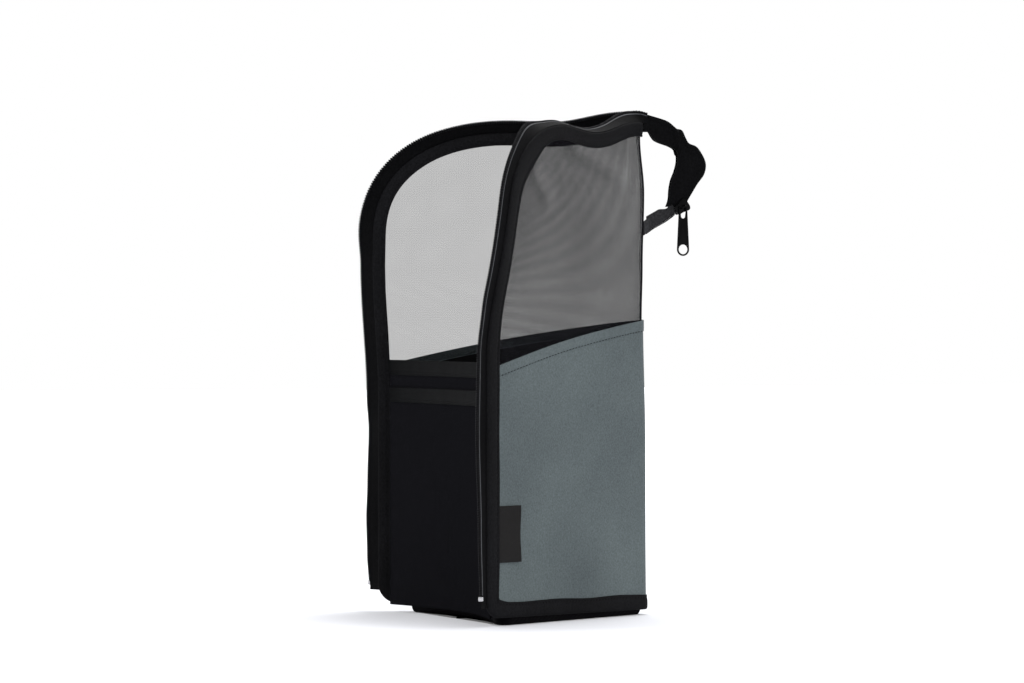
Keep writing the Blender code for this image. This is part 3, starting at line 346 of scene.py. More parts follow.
def make_ribs():
    """Fine ribs across a woven tape, along the map's second direction, with its thread twist."""
    inputs = [("Vector", "Vector", None), ("Ribs", "Float", 1900.0), ("Slant", "Float", 0.0)]
    tree, given, result = effect_group("tape_ribs", inputs, ["Height"])
    parts = node(tree, "SeparateXYZ", {0: given.outputs["Vector"]})
    across = maths(tree, "MULTIPLY", maths(tree, "ABSOLUTE", parts.outputs[0]), given.outputs["Slant"])
    run = maths(tree, "ADD", parts.outputs[1], across)
    turn = maths(tree, "MULTIPLY", run, maths(tree, "MULTIPLY", given.outputs["Ribs"], 2 * math.pi))
    feed(tree, result, {"Height": maths(tree, "MULTIPLY_ADD", maths(tree, "SINE", turn), 0.5, 0.5)})
    return tree


WEAVE, NET_HOLES, FADE, RIBS = make_weave(), make_net(), make_fade(), make_ribs()


def start_material(name):
    made = bpy.data.materials.new(name)
    made.use_nodes = True
    tree = made.node_tree
    return made, tree, tree.nodes["Principled BSDF"], node(tree, "UVMap", uv_map="cloth").outputs[0]


def uneven_tone(tree, **sizes):
    place = node(tree, "TexCoord").outputs["Object"]
    made = node(tree, "Group", {"Vector": place, **sizes}, node_tree=FADE)
    return made.outputs["Tone"], made.outputs["Fibre"]


def cloth_material(name, base, dark, light, threads, depth, rough, shine, ribbed=False, slant=0.0, grain=0.5):
    """Woven cloth or ribbed tape: its threads in colour and relief, and an uneven tone."""
    tone_low, tone_high, thread_share, fibre_share = 0.34, 0.66, 0.45, 0.4
    rough_range, strength = 0.16, 0.55
    made, tree, shader, cloth_map = start_material(name)
    if ribbed:
        sizes = {"Vector": cloth_map, "Ribs": threads, "Slant": slant}
    else:
        sizes = {"Vector": cloth_map, "Threads": threads}
    height = node(tree, "Group", sizes, node_tree=RIBS if ribbed else WEAVE).outputs["Height"]
    tone, fibre = uneven_tone(tree)
    patches = blend_colours(tree, ramp(tree, tone, tone_low, tone_high), colour(*dark), colour(*light))
    woven = blend_colours(tree, maths(tree, "MULTIPLY", height, thread_share), patches, colour(*base))
    speck = maths(tree, "MULTIPLY_ADD", fibre, grain, 1 - grain / 2)
    specks = node(tree, "CombineColor", {0: speck, 1: speck, 2: speck}).outputs[0]
    relief = maths(tree, "ADD", height, maths(tree, "MULTIPLY", fibre, fibre_share))
    surface = {
        "Base Color": blend_colours(tree, 1.0, woven, specks, "MULTIPLY"),
        "Roughness": maths(tree, "MULTIPLY_ADD", tone, rough_range, rough - rough_range / 2),
        "Normal": bump(tree, relief, strength, depth),
        "Specular IOR Level": shine,
    }
    feed(tree, shader, surface)
    return made


def net_material(name, thread, pitch, width, depth):
    """Black net that lets less through the more it is seen from the side, by the threads' depth. Only
    the face towards the eye shows its threads, so that the two faces don't count twice."""
    steepest, lighter, rough_low, rough_range = 0.15, 1.5, 0.5, 0.2
    made, tree, shader, cloth_map = start_material(name)
    facing = node(tree, "LayerWeight", {"Blend": 0.5}).outputs["Facing"]
    square = maths(tree, "MAXIMUM", maths(tree, "SUBTRACT", 1.0, facing), steepest)
    slant = maths(tree, "POWER", square, -depth)
    threads = {"Vector": cloth_map, "Pitch": pitch, "Thread": width, "Slant": slant}
    net = node(tree, "Group", threads, node_tree=NET_HOLES)
    tone, fibre = uneven_tone(tree)
    front = maths(tree, "SUBTRACT", 1.0, node(tree, "NewGeometry").outputs["Backfacing"])
    surface = {
        "Base Color": blend_colours(tree, fibre, colour(*thread), colour(*(v * lighter for v in thread))),
        "Alpha": maths(tree, "MULTIPLY", net.outputs["Mask"], front),
        "Roughness": maths(tree, "MULTIPLY_ADD", tone, rough_range, rough_low),
        "Normal": bump(tree, net.outputs["Height"], 0.3, 0.0001),
        "Specular IOR Level": 0.0,
    }
    feed(tree, shader, surface)
    return made


def hard_material(name, base, scuff_and_glint_colour, rough, metallic, scuff_and_glint_share):
    """Moulded or enamelled part: fine specks that show a second colour. They are scuffs on the enamel and the
    metal, and painted highlights on the nylon coil.
    """
    scuff_and_glint_low, scuff_and_glint_high, rough_range, metal_shine, enamel_shine = 0.30, 0.42, 0.15, 0.5, 0.06
    made, tree, shader, _ = start_material(name)
    tone, fibre = uneven_tone(tree, Patches=260.0, Fibres=2600.0)
    scuff_and_glint = ramp(tree, maths(tree, "MULTIPLY", tone, fibre), scuff_and_glint_low, scuff_and_glint_high, last=scuff_and_glint_share)
    surface = {
        "Base Color": blend_colours(tree, scuff_and_glint, colour(*base), colour(*scuff_and_glint_colour)),
        "Roughness": maths(tree, "MULTIPLY_ADD", fibre, rough_range, rough - 0.07),
        "Metallic": metallic,
        "Specular IOR Level": metal_shine if metallic else enamel_shine,
        "Normal": bump(tree, fibre, 0.15, 0.0001),
    }
    feed(tree, shader, surface)
    return made


def black_tape(name, base, dark, light, threads, depth, rough=0.66, slant=0.0):
    return cloth_material(name, base, dark, light, threads, depth, rough, 0.03, True, slant, grain=2.0)


# Each has its colour, its darker and its lighter one, threads to the metre, relief, roughness and shine
GREY = ((87, 96, 98), (75, 83, 85), (90, 99, 100))
GREY_CLOTH = cloth_material("grey_nylon", *GREY, 2300.0, 0.00012, 0.72, 0.15, grain=1.0)
DARK_LINING = ((8, 8, 9), (6, 6, 6), (9, 9, 10))
LINING = cloth_material("black_coated_lining", *DARK_LINING, 2300.0, 0.00008, 0.6, 0.03)
DARK_BASE = ((12, 11, 14), (6, 5, 8), (11, 10, 12))
BASE_CLOTH = cloth_material("black_base_cloth", *DARK_BASE, 1500.0, 0.0002, 0.7, 0.03)
BINDING = black_tape("black_binding_tape", (23, 23, 25), (12, 12, 13), (21, 21, 23), 1700.0, 0.00015)
BAND = black_tape("black_band_tape", (12, 13, 14), (6, 6, 7), (11, 12, 13), 1700.0, 0.00012, 0.7)
TAPE = black_tape("zipper_tape", (13, 13, 15), (6, 6, 7), (12, 12, 13), 1100.0, 0.00018, slant=0.9)
STRAP = black_tape("strap_tape", (58, 58, 60), (38, 38, 39), (56, 56, 58), 1100.0, 0.00018)
CHARCOAL = ((34, 33, 33), (28, 27, 27), (33, 32, 32))
LABEL = cloth_material("charcoal_label", *CHARCOAL, 3000.0, 0.0001, 0.75, 0.05)
BLACK_THREAD = ((18, 18, 20), (8, 8, 9), (15, 15, 17))
THREAD_BLACK = cloth_material("black_thread", *BLACK_THREAD, 4000.0, 0.00008, 0.6, 0.05)
PALE_THREAD = ((88, 90, 94), (40, 41, 43), (84, 86, 90))
THREAD_PALE = cloth_material("worn_seam_thread", *PALE_THREAD, 4000.0, 0.00008, 0.5, 0.2, grain=1.4)
SIDE_NET = net_material("side_net", (17, 17, 19), pitch=0.00032, width=0.32, depth=1.30)
POCKET_NET = net_material("pocket_net", (15, 15, 17), pitch=0.00040, width=0.86, depth=0.5)
# The coil's lighter specks are painted highlights, standing in for the glints on its ribs.
COIL = hard_material("black_nylon_coil", (27, 27, 29), (60, 60, 62), rough=0.42, metallic=0.0, scuff_and_glint_share=0.4)
ENAMEL = hard_material("black_enamel", (3, 3, 4), (30, 30, 32), rough=0.36, metallic=0.0, scuff_and_glint_share=0.2)
BRIGHT = hard_material("bright_stop", (176, 176, 178), (120, 120, 122), rough=0.24, metallic=1.0, scuff_and_glint_share=0.6)


# Shape of the cloth


def smooth_step(x):
    x = min(1.0, max(0.0, x))
    return x * x * (3 - 2 * x)


def ease(x, start, run):
    """0 up to start, 1 from start + run on, and a smooth step between."""
    return smooth_step((x - start) / run)


def hump(x, middle, width):
    return math.exp(-(((x - middle) / width) ** 2))


def steps(start, end, count):
    return [start + (end - start) * i / count for i in range(count + 1)]


def at_height(z, values):
    """Smooth run through values, pairs of a height and what holds there."""
    for (low, first), (high, last) in zip(values, values[1:]):
        if z <= high:
            return first + (last - first) * ease(z, low, high - low)
    return values[-1][1]


def fold_line(u, z, start, end, width):
    """Depth, from 0 to 1, of a soft fold from start to end, places on the cut cloth."""
    line = Vector((end[0] - start[0], end[1] - start[1]))
    spot = Vector((u - start[0], z - start[1]))
    along = spot.dot(line) / line.length_squared
    away = abs(spot.cross(line)) / line.length
    ends = ease(along, -FOLD_FADE, 2 * FOLD_FADE) * ease(-along, -1 - FOLD_FADE, 2 * FOLD_FADE)
    return ends * hump(away, 0, width)


def crease(side, u, z):
    """How far soft wrinkles push the cloth out, nothing where it is sewn."""
    held = ease(u - EDGE_U, *HELD_FRONT) * ease(SPINE_U - u, 0, HELD_SPINE)
    held *= ease(z, *HELD_FOOT) * ease(-z, -HELD_TOP[0], HELD_TOP[1])
    held *= 1 - CALM * ease(z, CALM_FROM, CALM_RUN)
    broad = noise.noise(Vector((u * WRINKLE_ALONG, z * WRINKLE_UP, 3.1 * side)))
    fine = noise.noise(Vector((u * RIPPLE_ALONG + z * RIPPLE_SLANT, z * RIPPLE_UP, 7.7 * side)))
    push = held * (WRINKLE * broad + RIPPLE * fine)
    if side == RIGHT:
        push -= sum(depth * fold_line(u, z, *fold) for depth, *fold in RIGHT_FOLDS)
    return push


def skin(side, u, z, out=0.0):
    """The point of a side, or of the spine past PANEL_LENGTH, u along it from the zipper's edge."""
    out += crease(side, u, z)
    if u <= PANEL_LENGTH:
        angle, along = HALF_OPENING, PANEL_LENGTH - u
        share = along / PANEL_LENGTH
        out += FLARE[side] * ease(z, FLARE_FROM, FLARE_RISE) * share**FLARE_POWER
        along += (LEAN[side] * ease(z, LEAN_FROM, LEAN_RISE) - TIGHT[side]) * share
    else:
        angle, along = HALF_OPENING + (u - PANEL_LENGTH) / SPINE_RADIUS, 0.0
    reach = SPINE_RADIUS + out
    x = reach * math.cos(angle) + along * math.sin(HALF_OPENING)
    y = SPINE_AXIS.y + reach * math.sin(angle) - along * math.cos(HALF_OPENING)
    y += at_height(z, SWAY) * smooth_step(1 - along / SWAY_RUN)
    return Vector((side * x, y, z))


def side_share(u):
    """How far the cloth follows its side: 1 on the side, falling to 0 in the middle of the spine."""
    return min(1.0, max(0.0, (SPINE_U - u) / BEND))


def turn_share(point):
    """The same for cloth between the sides, which lies by the middle plane when they are closed."""
    out, lever = abs(point.x), max(SPINE_AXIS.y - point.y, FOLD_LEVER)
    closed = out * math.cos(FOLD) - lever * math.sin(FOLD)
    return min(1.0, max(0.0, (out - FOLD_GAP) / (out - closed)))


def seam_height(u):
    share = min(1.0, max(0.0, u / PANEL_LENGTH))
    return FRONT_LIFT + (SPINE_LIFT - FRONT_LIFT) * share


def edge_height(side, u):
    start = EDGE_U + CORNER_LENGTH[side]
    share = min(1.0, max(0.0, (u - start) / (PANEL_LENGTH - start)))
    rise = SPINE_RISE * ease(share, RISE_FROM, 1 - RISE_FROM)
    dip = TOP_DIP[side] * math.sin(math.pi * share**DIP_PLACE) ** 2
    return EDGE_TOP + TOP_RAISE[side] * (1 - smooth_step(share)) + rise - dip


def corner_top(side, u, inset):
    start, length = EDGE_U + inset, CORNER_LENGTH[side] - inset
    if u >= start + length:
        return edge_height(side, u) - inset
    height = CORNER_HEIGHT + TOP_RAISE[side] - inset
    share = min(1.0, max(0.0, 1 - (u - start) / length))
    return EDGE_TOP - CORNER_HEIGHT + height * (1 - share**CORNER_POWER) ** (1 / CORNER_POWER)


def grey_top(u):
    run = min(u, SPINE_U) - (EDGE_U + BINDING_WIDTH)
    return GREY_FRONT + GREY_SLOPE * run - GREY_SAG * run * run


def cloth_foot(u, inset):
    centre = EDGE_U + FOOT_RADIUS
    if u >= centre:
        return seam_height(u) + inset
    radius = FOOT_RADIUS - inset
    return seam_height(centre) + FOOT_RADIUS - math.sqrt(max(0.0, radius * radius - (centre - u) ** 2))


def even_path(points, pitch):
    """The points of a path set again at an even pitch, each with the path's outward direction."""
    lengths = [0.0]
    for a, b in zip(points, points[1:]):
        lengths.append(lengths[-1] + math.dist(a, b))
    count = max(2, round(lengths[-1] / pitch))
    spaced, k = [], 0
    for run in steps(0.0, lengths[-1], count):
        while k < len(lengths) - 2 and lengths[k + 1] < run:
            k += 1
        share = (run - lengths[k]) / (lengths[k + 1] - lengths[k])
        spaced.append(tuple(a + (b - a) * share for a, b in zip(points[k], points[k + 1])))
    path = []
    for i, (u, z) in enumerate(spaced):
        before, after = spaced[max(0, i - 1)], spaced[min(count, i + 1)]
        run = Vector((after[0] - before[0], after[1] - before[1])).normalized()
        path.append((u, z, -run.y, run.x))
    return path


def edge_path(side, pitch):
    """The binding's fold, as (u, z, outward u, outward z), from the middle of the spine's foot round
    the side to the middle of the spine's top."""
    bottom = [(u, seam_height(u)) for u in steps(SPINE_U, EDGE_U + FOOT_RADIUS, 24)]
    middle = (EDGE_U + FOOT_RADIUS, seam_height(EDGE_U + FOOT_RADIUS) + FOOT_RADIUS)
    foot = [
        (middle[0] - FOOT_RADIUS * math.sin(a), middle[1] - FOOT_RADIUS * math.cos(a))
        for a in steps(0, math.pi / 2, 16)
    ]
    corner_foot = EDGE_TOP - CORNER_HEIGHT
    front = [(EDGE_U, z) for z in steps(middle[1], corner_foot, 8)]
    length, height, power = CORNER_LENGTH[side], CORNER_HEIGHT + TOP_RAISE[side], 2 / CORNER_POWER
    corner = [
        (EDGE_U + length * (1 - math.cos(a) ** power), corner_foot + height * math.sin(a) ** power)
        for a in steps(0, math.pi / 2, 48)
    ]
    top = [(u, edge_height(side, u)) for u in steps(EDGE_U + length, SPINE_U, 40)]
    return even_path(bottom + foot[1:] + front[1:] + corner[1:] + top[1:], pitch)


# Making pieces


def add_object(name, data):
    made = bpy.data.objects.new(name, data)
    bpy.context.scene.collection.objects.link(made)
    return made


def piece_from(name, bm, look, sharp=40):
    bmesh.ops.recalc_face_normals(bm, faces=bm.faces)
    if bm.calc_volume(signed=True) < 0:
        bmesh.ops.reverse_faces(bm, faces=bm.faces)
    mesh = bpy.data.meshes.new(name)
    bm.to_mesh(mesh)
    bm.free()
    mesh.materials.append(look)
    mesh.shade_smooth()
    mesh.set_sharp_from_angle(angle=math.radians(sharp))
    return add_object(name, mesh)


def curve_solid(curve):
    """The curve's solid, its points in the order of the curve's."""
    holder = add_object(curve.name + "_line", curve)
    mesh = bpy.data.meshes.new_from_object(holder.evaluated_get(bpy.context.evaluated_depsgraph_get()))
    bpy.data.objects.remove(holder)
    bm = bmesh.new()
    bm.from_mesh(mesh)
    bpy.data.meshes.remove(mesh)
    return bm


def cloth_piece(name, look, across, up, place, size, share=None):
    """A closed sheet of cloth. place(i, j, outer) puts a column and row of its inner or outer face,
    size(i, j) is the place on the cut cloth, and share(i, point) how far it follows its side."""
    bm = bmesh.new()
    cut = bm.loops.layers.uv.new("cloth")
    follow = bm.verts.layers.float.new("follow")
    bmesh.ops.create_grid(bm, x_segments=across, y_segments=up, size=0.5)
    made = bmesh.ops.extrude_face_region(bm, geom=list(bm.faces), use_keep_orig=True)
    outer = {v for v in made["geom"] if isinstance(v, bmesh.types.BMVert)}
    spots = {v: (round((v.co.x + 0.5) * across), round((v.co.y + 0.5) * up)) for v in bm.verts}
    for face in bm.faces:
        for loop in face.loops:
            loop[cut].uv = size(*spots[loop.vert])
    for v, (i, j) in spots.items():
        v.co = place(i, j, v in outer)
        v[follow] = share(i, v.co) if share else 0.0
    return piece_from(name, bm, look)


def swept_piece(name, look, stations, section, place, pitch, share=None):
    """A closed run of a section. place(station, x, y) puts a section's point at a station."""
    around, along = len(section), len(stations) - 1
    girth = [0.0]
    for a, b in zip(section, section[1:] + section[:1]):
        girth.append(girth[-1] + math.dist(a, b))
    bm = bmesh.new()
    bmesh.ops.create_grid(bm, x_segments=around, y_segments=along, size=0.5)
    cut = bm.loops.layers.uv.new("cloth")
    follow = bm.verts.layers.float.new("follow")
    spots = {v: (round((v.co.x + 0.5) * around), round((v.co.y + 0.5) * along)) for v in bm.verts}
    for face in bm.faces:
        for loop in face.loops:
            i, j = spots[loop.vert]
            loop[cut].uv = (girth[i], j * pitch)
    for v, (i, j) in spots.items():
        v.co = place(stations[j], *section[i % around])
        v[follow] = share(stations[j]) if share else 0.0
    bmesh.ops.remove_doubles(bm, verts=bm.verts, dist=1e-7)
    bmesh.ops.holes_fill(bm, edges=[e for e in bm.edges if e.is_boundary], sides=0)
    return piece_from(name, bm, look)


def settle(piece, body, slot, *nodes):
    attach(piece, body)
    if nodes:
        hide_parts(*nodes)


def bend(piece, side, slot, *nodes):
    """Bakes the piece's place into its mesh and hides the parts it stands for."""
    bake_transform(piece)
    if nodes:
        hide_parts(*nodes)


def stitches(name, places, shares):
    """Sewn thread: one short bead for each of places, a point, its run and its outward direction."""
    bm = bmesh.new()
    follow = bm.verts.layers.float.new("follow")
    lying = Matrix.Rotation(math.pi / 2, 4, "Y")
    for (point, run, out), share in zip(places, shares):
        side = out.cross(run).normalized()
        turn = Matrix((run * STITCH_LENGTH / 2, side * THREAD, out * THREAD)).transposed().to_4x4()
        spot = Matrix.Translation(point) @ turn @ lying
        made = bmesh.ops.create_uvsphere(bm, u_segments=6, v_segments=4, radius=1.0, matrix=spot)
        for v in made["verts"]:
            v[follow] = share
    bm.loops.layers.uv.new("cloth")
    return piece_from(name, bm, THREAD_BLACK, 80)


def side_stitches(name, side, slot, spots):
    """Stitches on a side, each of spots a place, its run on the cut cloth and how far out it lies."""
    places, shares = [], []
    for u, z, run_u, run_z, out in spots:
        root = skin(side, u, z)
        ahead = skin(side, u + run_u * NUDGE, z + run_z * NUDGE) - root
        point = skin(side, u, z, out)
        places.append((point, ahead.normalized(), (point - root).normalized()))
        shares.append(side_share(u))
    bend(stitches(name, places, shares), side, slot)


# Sides


def columns(first, pitch):
    """u at each column of a side, from under the binding to the middle of the spine."""
    count = round((PANEL_LENGTH - first) / pitch)
    return steps(first, PANEL_LENGTH, count) + steps(PANEL_LENGTH, SPINE_U, 8)[1:]


def side_sheet(name, look, side, us, heights, low, high):
    rows = len(heights(us[0])) - 1
    levels = [heights(u) for u in us]

    def place(i, j, outer):
        return skin(side, us[i], levels[i][j], high(us[i], levels[i][j]) if outer else low)

    def size(i, j):
        return us[i], levels[i][j]

    return cloth_piece(name, look, len(us) - 1, rows, place, size, lambda i, point: side_share(us[i]))


def side_cloth(side):
    """Grey cloth, net above it and lining within, for one side and its half of the spine."""
    name = NAME[side]
    first = EDGE_U + UNDER_BINDING
    shown_from = EDGE_U + BINDING_WIDTH

    def grey_rows(u):
        top, foot = grey_top(u), cloth_foot(u, UNDER_BINDING)
        return steps(foot, top - HEM_TOP_ROW, 44) + [top - down for down in HEM_ROWS]

    def grey_out(u, z):
        down = grey_top(u) - z
        hem = HEM_THICK * (1 - ease(down, HEM - HEM_EDGE, HEM_STEP))
        dent = STITCH_SINK * hump(down, HEM_STITCH, STITCH_DENT)
        return CLOTH_IN + CLOTH + (hem - dent) * ease(u, shown_from, HEM_SHOWN)

    def net_rows(u):
        return steps(grey_top(u) - NET_OVERLAP, corner_top(side, u, NET_UNDER_BINDING), 54)

    def lining_rows(u):
        return steps(cloth_foot(u, UNDER_BINDING), grey_top(u) - NET_OVERLAP - LAYER_GAP, 30)

    us = columns(first, CLOTH_PITCH)
    cloth = side_sheet(name + "_grey_cloth", GREY_CLOTH, side, us, grey_rows, CLOTH_IN, grey_out)
    bend(cloth, side, "grey_cloth", name + "_outer_panel", "spine_cloth")
    inside = (NET_OUT - NET, lambda u, z: NET_OUT)
    net = side_sheet(name + "_net", SIDE_NET, side, columns(first, NET_PITCH), net_rows, *inside)
    bend(net, side, "black_mesh", name + "_mesh_window", "spine_mesh")
    us = columns(first, LINING_PITCH)
    lining = side_sheet(name + "_lining_cloth", LINING, side, us, lining_rows, *inside)
    bend(lining, side, "lining", name + "_lining", "spine_lining")
    seam = [(u, grey_top(u) - HEM_STITCH) for u in steps(shown_from + NUDGE, SPINE_U - 2 * NUDGE, 60)]
    spots = []
    for u, z, _, _ in even_path(seam, STITCH_PITCH)[:-1]:
        spots.append((u, z, 1.0, GREY_SLOPE - 2 * GREY_SAG * (u - shown_from), CLOTH_IN + CLOTH + STITCH_OUT))
    side_stitches(name + "_hem_stitches", side, "grey_cloth", spots)


def binding_section():
    """A folded tape as (inward, out): plump leaves drawn in along their stitching."""
    leaf = [(0.0000, 0.0003), (0.0002, 0.0009), (0.0008, 0.00135), (0.0020, 0.00158), (0.0045, 0.00166)]
    leaf += [(0.0070, 0.00158), (0.0086, 0.00138), (SECTION_STITCH, 0.00112), (0.0102, 0.00122)]
    leaf += [(0.0109, 0.00130), (0.0114, 0.00122), (SECTION_WIDTH, 0.00100), (0.0114, 0.00076)]
    leaf += [(SECTION_STITCH, 0.00071), (0.0060, 0.00100), (0.0020, 0.00098), (0.0008, 0.00055)]
    return leaf + [(inward, -out) for inward, out in reversed(leaf)]


def leaf_width(side, u, z, face):
    """Width of the binding's outer (face 1) or inner (face -1) leaf at a place on its edge. The right
    side's outer leaf is the wide one."""
    wave = LEAF_WAVE * noise.noise(Vector((u * LEAF_WAVES, z * LEAF_WAVES, side * 5.1 + face)))
    if face < 0 or side == LEFT:
        return LEAF_IN + 0.5 * wave
    high, low = ease(z, *LEAF_HIGH), ease(-z, *LEAF_LOW)
    top = (LEAF_TOP - LEAF_FRONT) * ease(u - EDGE_U, *LEAF_TOP_RUN) * high
    foot = (LEAF_FOOT - LEAF_FRONT) * ease(u - EDGE_U, *LEAF_FOOT_RUN) * low
    corner = LEAF_CORNER * hump(u, LEAF_CORNER_U, LEAF_CORNER_RUN) * high
    return LEAF_FRONT + top + foot + corner + wave


def edge_binding(side):
    name = NAME[side]
    pitch = STITCH_PITCH / POINTS_PER_STITCH
    path = edge_path(side, pitch)
    stations = [(i, *station) for i, station in enumerate(path)]

    def place(station, inward, out):
        i, u, z, out_u, out_z = station
        pucker = math.cos(2 * math.pi * i / POINTS_PER_STITCH) * hump(inward, SECTION_STITCH, PUCKER_RUN)
        plump = noise.noise(Vector((u * PLUMPS, z * PLUMPS, side * 2.3 + inward * PLUMPS_ACROSS)))
        inward *= leaf_width(side, u, z, math.copysign(1, out)) / SECTION_WIDTH
        out += math.copysign(PUCKER * pucker + PLUMP * plump, out)
        return skin(side, u - inward * out_u, z - inward * out_z, out)

    section = binding_section()
    sweep = (stations, section, place, pitch, lambda s: side_share(s[1]))
    binding = swept_piece(name + "_binding", BINDING, *sweep)
    bend(binding, side, "black_binding", name + "_edge_binding", "spine_foot_binding", "spine_top_binding")
    spots = []
    for face in (1, -1):
        for u, z, out_u, out_z in path[SEWN_END_POINTS:-SEWN_END_POINTS:POINTS_PER_STITCH]:
            inward = leaf_width(side, u, z, face) * SECTION_STITCH / SECTION_WIDTH
            place_u, place_z = u - inward * out_u, z - inward * out_z
            spots.append((place_u, place_z, out_z, -out_u, face * LEAF_STITCH_OUT))
    side_stitches(name + "_binding_stitches", side, "black_binding", spots)


# Zipper


def zip_frame(side, u, z, out_u, out_z):
    """Where the zipper leaves the binding's fold: the point, its reach and its outward direction."""
    curl = math.radians(at_height(z, FRONT_CURL[side]))
    curl += (TAPE_CURL[side] - curl) * ease(u, CURL_FROM, CURL_RUN)
    curl += (SPINE_CURL - curl) * ease(u, PANEL_LENGTH - SPINE_CURL_RUN, SPINE_CURL_RUN)

    def at(reach, out):
        flat = reach * math.cos(curl) + (TAPE_THICK / 2 + out) * math.sin(curl)
        lifted = -reach * math.sin(curl) + out * math.cos(curl)
        return skin(side, u + flat * out_u, z + flat * out_z, lifted)

    foot = at(0.0, 0.0)
    reach = (at(2 * NUDGE, 0.0) - foot).normalized()
    out = at(0.0, 2 * NUDGE) - foot
    return foot, reach, (out - reach * out.dot(reach)).normalized()


def zip_stations(side, foot, pitch):
    """Frames of the zipper from its foot up the side and over the spine to the root of the loop, each
    with how far it follows its side and how much of its width it keeps."""
    path = edge_path(side, pitch)
    start = next(k for k, s in enumerate(path) if s[0] < EDGE_U + 0.0001 and s[1] > foot)
    made = [(*zip_frame(side, *s), 1.0, 1.0) for s in path[start:] if s[0] <= PANEL_LENGTH]
    first = zip_frame(side, EDGE_U, foot, -1.0, 0.0)
    made.insert(0, (*first, 1.0, 1.0))
    last = made[-1]
    top = edge_height(RIGHT, PANEL_LENGTH) + SPINE_TAPE_UP
    root = Vector((side * SPINE_HALF_GAP, SPINE_FACE_Y + LEAF_OUT + SPINE_TAPE_OUT, top))
    end = (root, UP, Vector((side, 0, 0)))
    count = max(4, round((last[0] - end[0]).length / pitch))
    for share in steps(0, 1, count)[1:]:
        eased = smooth_step(share)
        point = last[0].lerp(end[0], share)
        reach = last[1].lerp(end[1], eased).normalized()
        out = last[2].lerp(end[2], eased)
        out = (out - reach * out.dot(reach)).normalized()
        made.append((point, reach, out, 1 - share, 1 - SPINE_NARROWING * eased))
    return made


def zip_place(station, reach, out):
    point, along, outward, _, width = station
    return point + along * reach * width + outward * out


def zip_tape(side):
    """Woven tape from the binding's fold to inside the coil, with the pale seam that holds the coil."""
    name = NAME[side]
    low, high, half = TAPE_FROM, TAPE_TO, TAPE_THICK / 2
    flat = [(low + (high - low) * s, half) for s in steps(0.1, 0.9, 10)]
    face = [(low, half * 0.8), *flat, (high, half * 0.7)]
    section = face + [(reach, -out) for reach, out in reversed(face)]
    stations = zip_stations(side, ZIP_FOOT - TAPE_TAIL[side], TAPE_STEP)
    sweep = (zip_place, TAPE_STEP, lambda s: s[3])
    tape = swept_piece(name + "_zipper_tape", TAPE, stations, section, *sweep)
    bend(tape, side, "zipper_tape", name + "_zip_tape", "spine_tape_" + name)
    seam = [
        (COIL_SEAM + SEAM_HALF_WIDTH * math.cos(a), half + SEAM_HALF_THICK * math.sin(a))
        for a in steps(0, 2 * math.pi, 8)[:-1]
    ]
    bend(swept_piece(name + "_coil_seam", THREAD_PALE, stations[2:], seam, *sweep), side, "zipper_tape")


def wound_wire(name, look, frames, pitch, low, high, half, place, radius):
    """Nylon wire wound along frames, each point with the share of its frame."""
    turns = max(2, round((len(frames) - 1) * COIL_STEP / pitch))
    around = 8
    count = turns * around
    curve = bpy.data.curves.new(name, "CURVE")
    curve.dimensions = "3D"
    curve.bevel_depth = radius
    curve.bevel_resolution = 1
    curve.use_fill_caps = True
    line = curve.splines.new("POLY")
    line.points.add(count)
    shares = []
    for k in range(count + 1):
        spot = k / count * (len(frames) - 1)
        base = min(int(spot), len(frames) - 2)
        angle = 2 * math.pi * k / around
        reach = (low + high) / 2 + (high - low) / 2 * math.cos(angle)
        out = half * math.sin(angle)
        point = place(frames[base], reach, out).lerp(place(frames[base + 1], reach, out), spot - base)
        line.points[k].co = (*point, 1.0)
        shares.append(frames[base][3])
    bm = curve_solid(curve)
    follow = bm.verts.layers.float.new("follow")
    ring = len(bm.verts) // (count + 1)
    for v in bm.verts:
        v[follow] = shares[min(count, v.index // ring)]
    return piece_from(name, bm, look, 80)


def zip_coil(side):
    name = NAME[side]
    frames = zip_stations(side, ZIP_FOOT + STOP_LENGTH, COIL_STEP)
    low, high, half = COIL_FROM + WIRE, COIL_FROM + COIL_WIDTH - WIRE, COIL_THICK / 2 - WIRE
    coil = wound_wire(name + "_coil", COIL, frames, COIL_PITCH, low, high, half, zip_place, WIRE)
    bend(coil, side, "zipper_coil", name + "_zip_coil", "spine_coil_" + name)
    near, far = low + CORE_NEAR, high - CORE_FAR
    core = [(near, -CORE_HALF), (near, CORE_HALF), (far, 0.8 * CORE_HALF), (far, -0.8 * CORE_HALF)]
    cord = swept_piece(name + "_coil_cord", TAPE, frames[::4], core, zip_place, TAPE_STEP, lambda s: s[3])
    bend(cord, side, "zipper_tape")


def end_stop(side):
    """Bright metal clip crimped round the coil's foot."""
    name = NAME[side]
    bm = bmesh.new()
    bmesh.ops.create_cube(bm, size=1.0)
    bmesh.ops.bevel(bm, geom=bm.edges[:], offset=0.2, segments=3, profile=0.5, affect="EDGES", material=-1)
    point, reach, out = zip_frame(side, EDGE_U, ZIP_FOOT + STOP_LENGTH / 2, -1.0, 0.0)
    centre = point + reach * (COIL_FROM + COIL_WIDTH / 2)
    for v in bm.verts:
        pinch = 1 - STOP_PINCH * math.cos(2 * math.pi * v.co.z)
        spread = reach * v.co.x * COIL_WIDTH + out * v.co.y * STOP_THICK * pinch
        v.co = centre + spread + UP * v.co.z * (STOP_LENGTH - STOP_GAP)
    settle(piece_from(name + "_stop", bm, BRIGHT), name + "_side", "end_stop_metal", name + "_end_stop")


# Front pockets and base


def front_bow(z):
    share = 1 - min(1.0, z / GUSSET_TOP)
    return BOW_TOP + (BOW_FOOT - BOW_TOP) * share**BOW_POWER


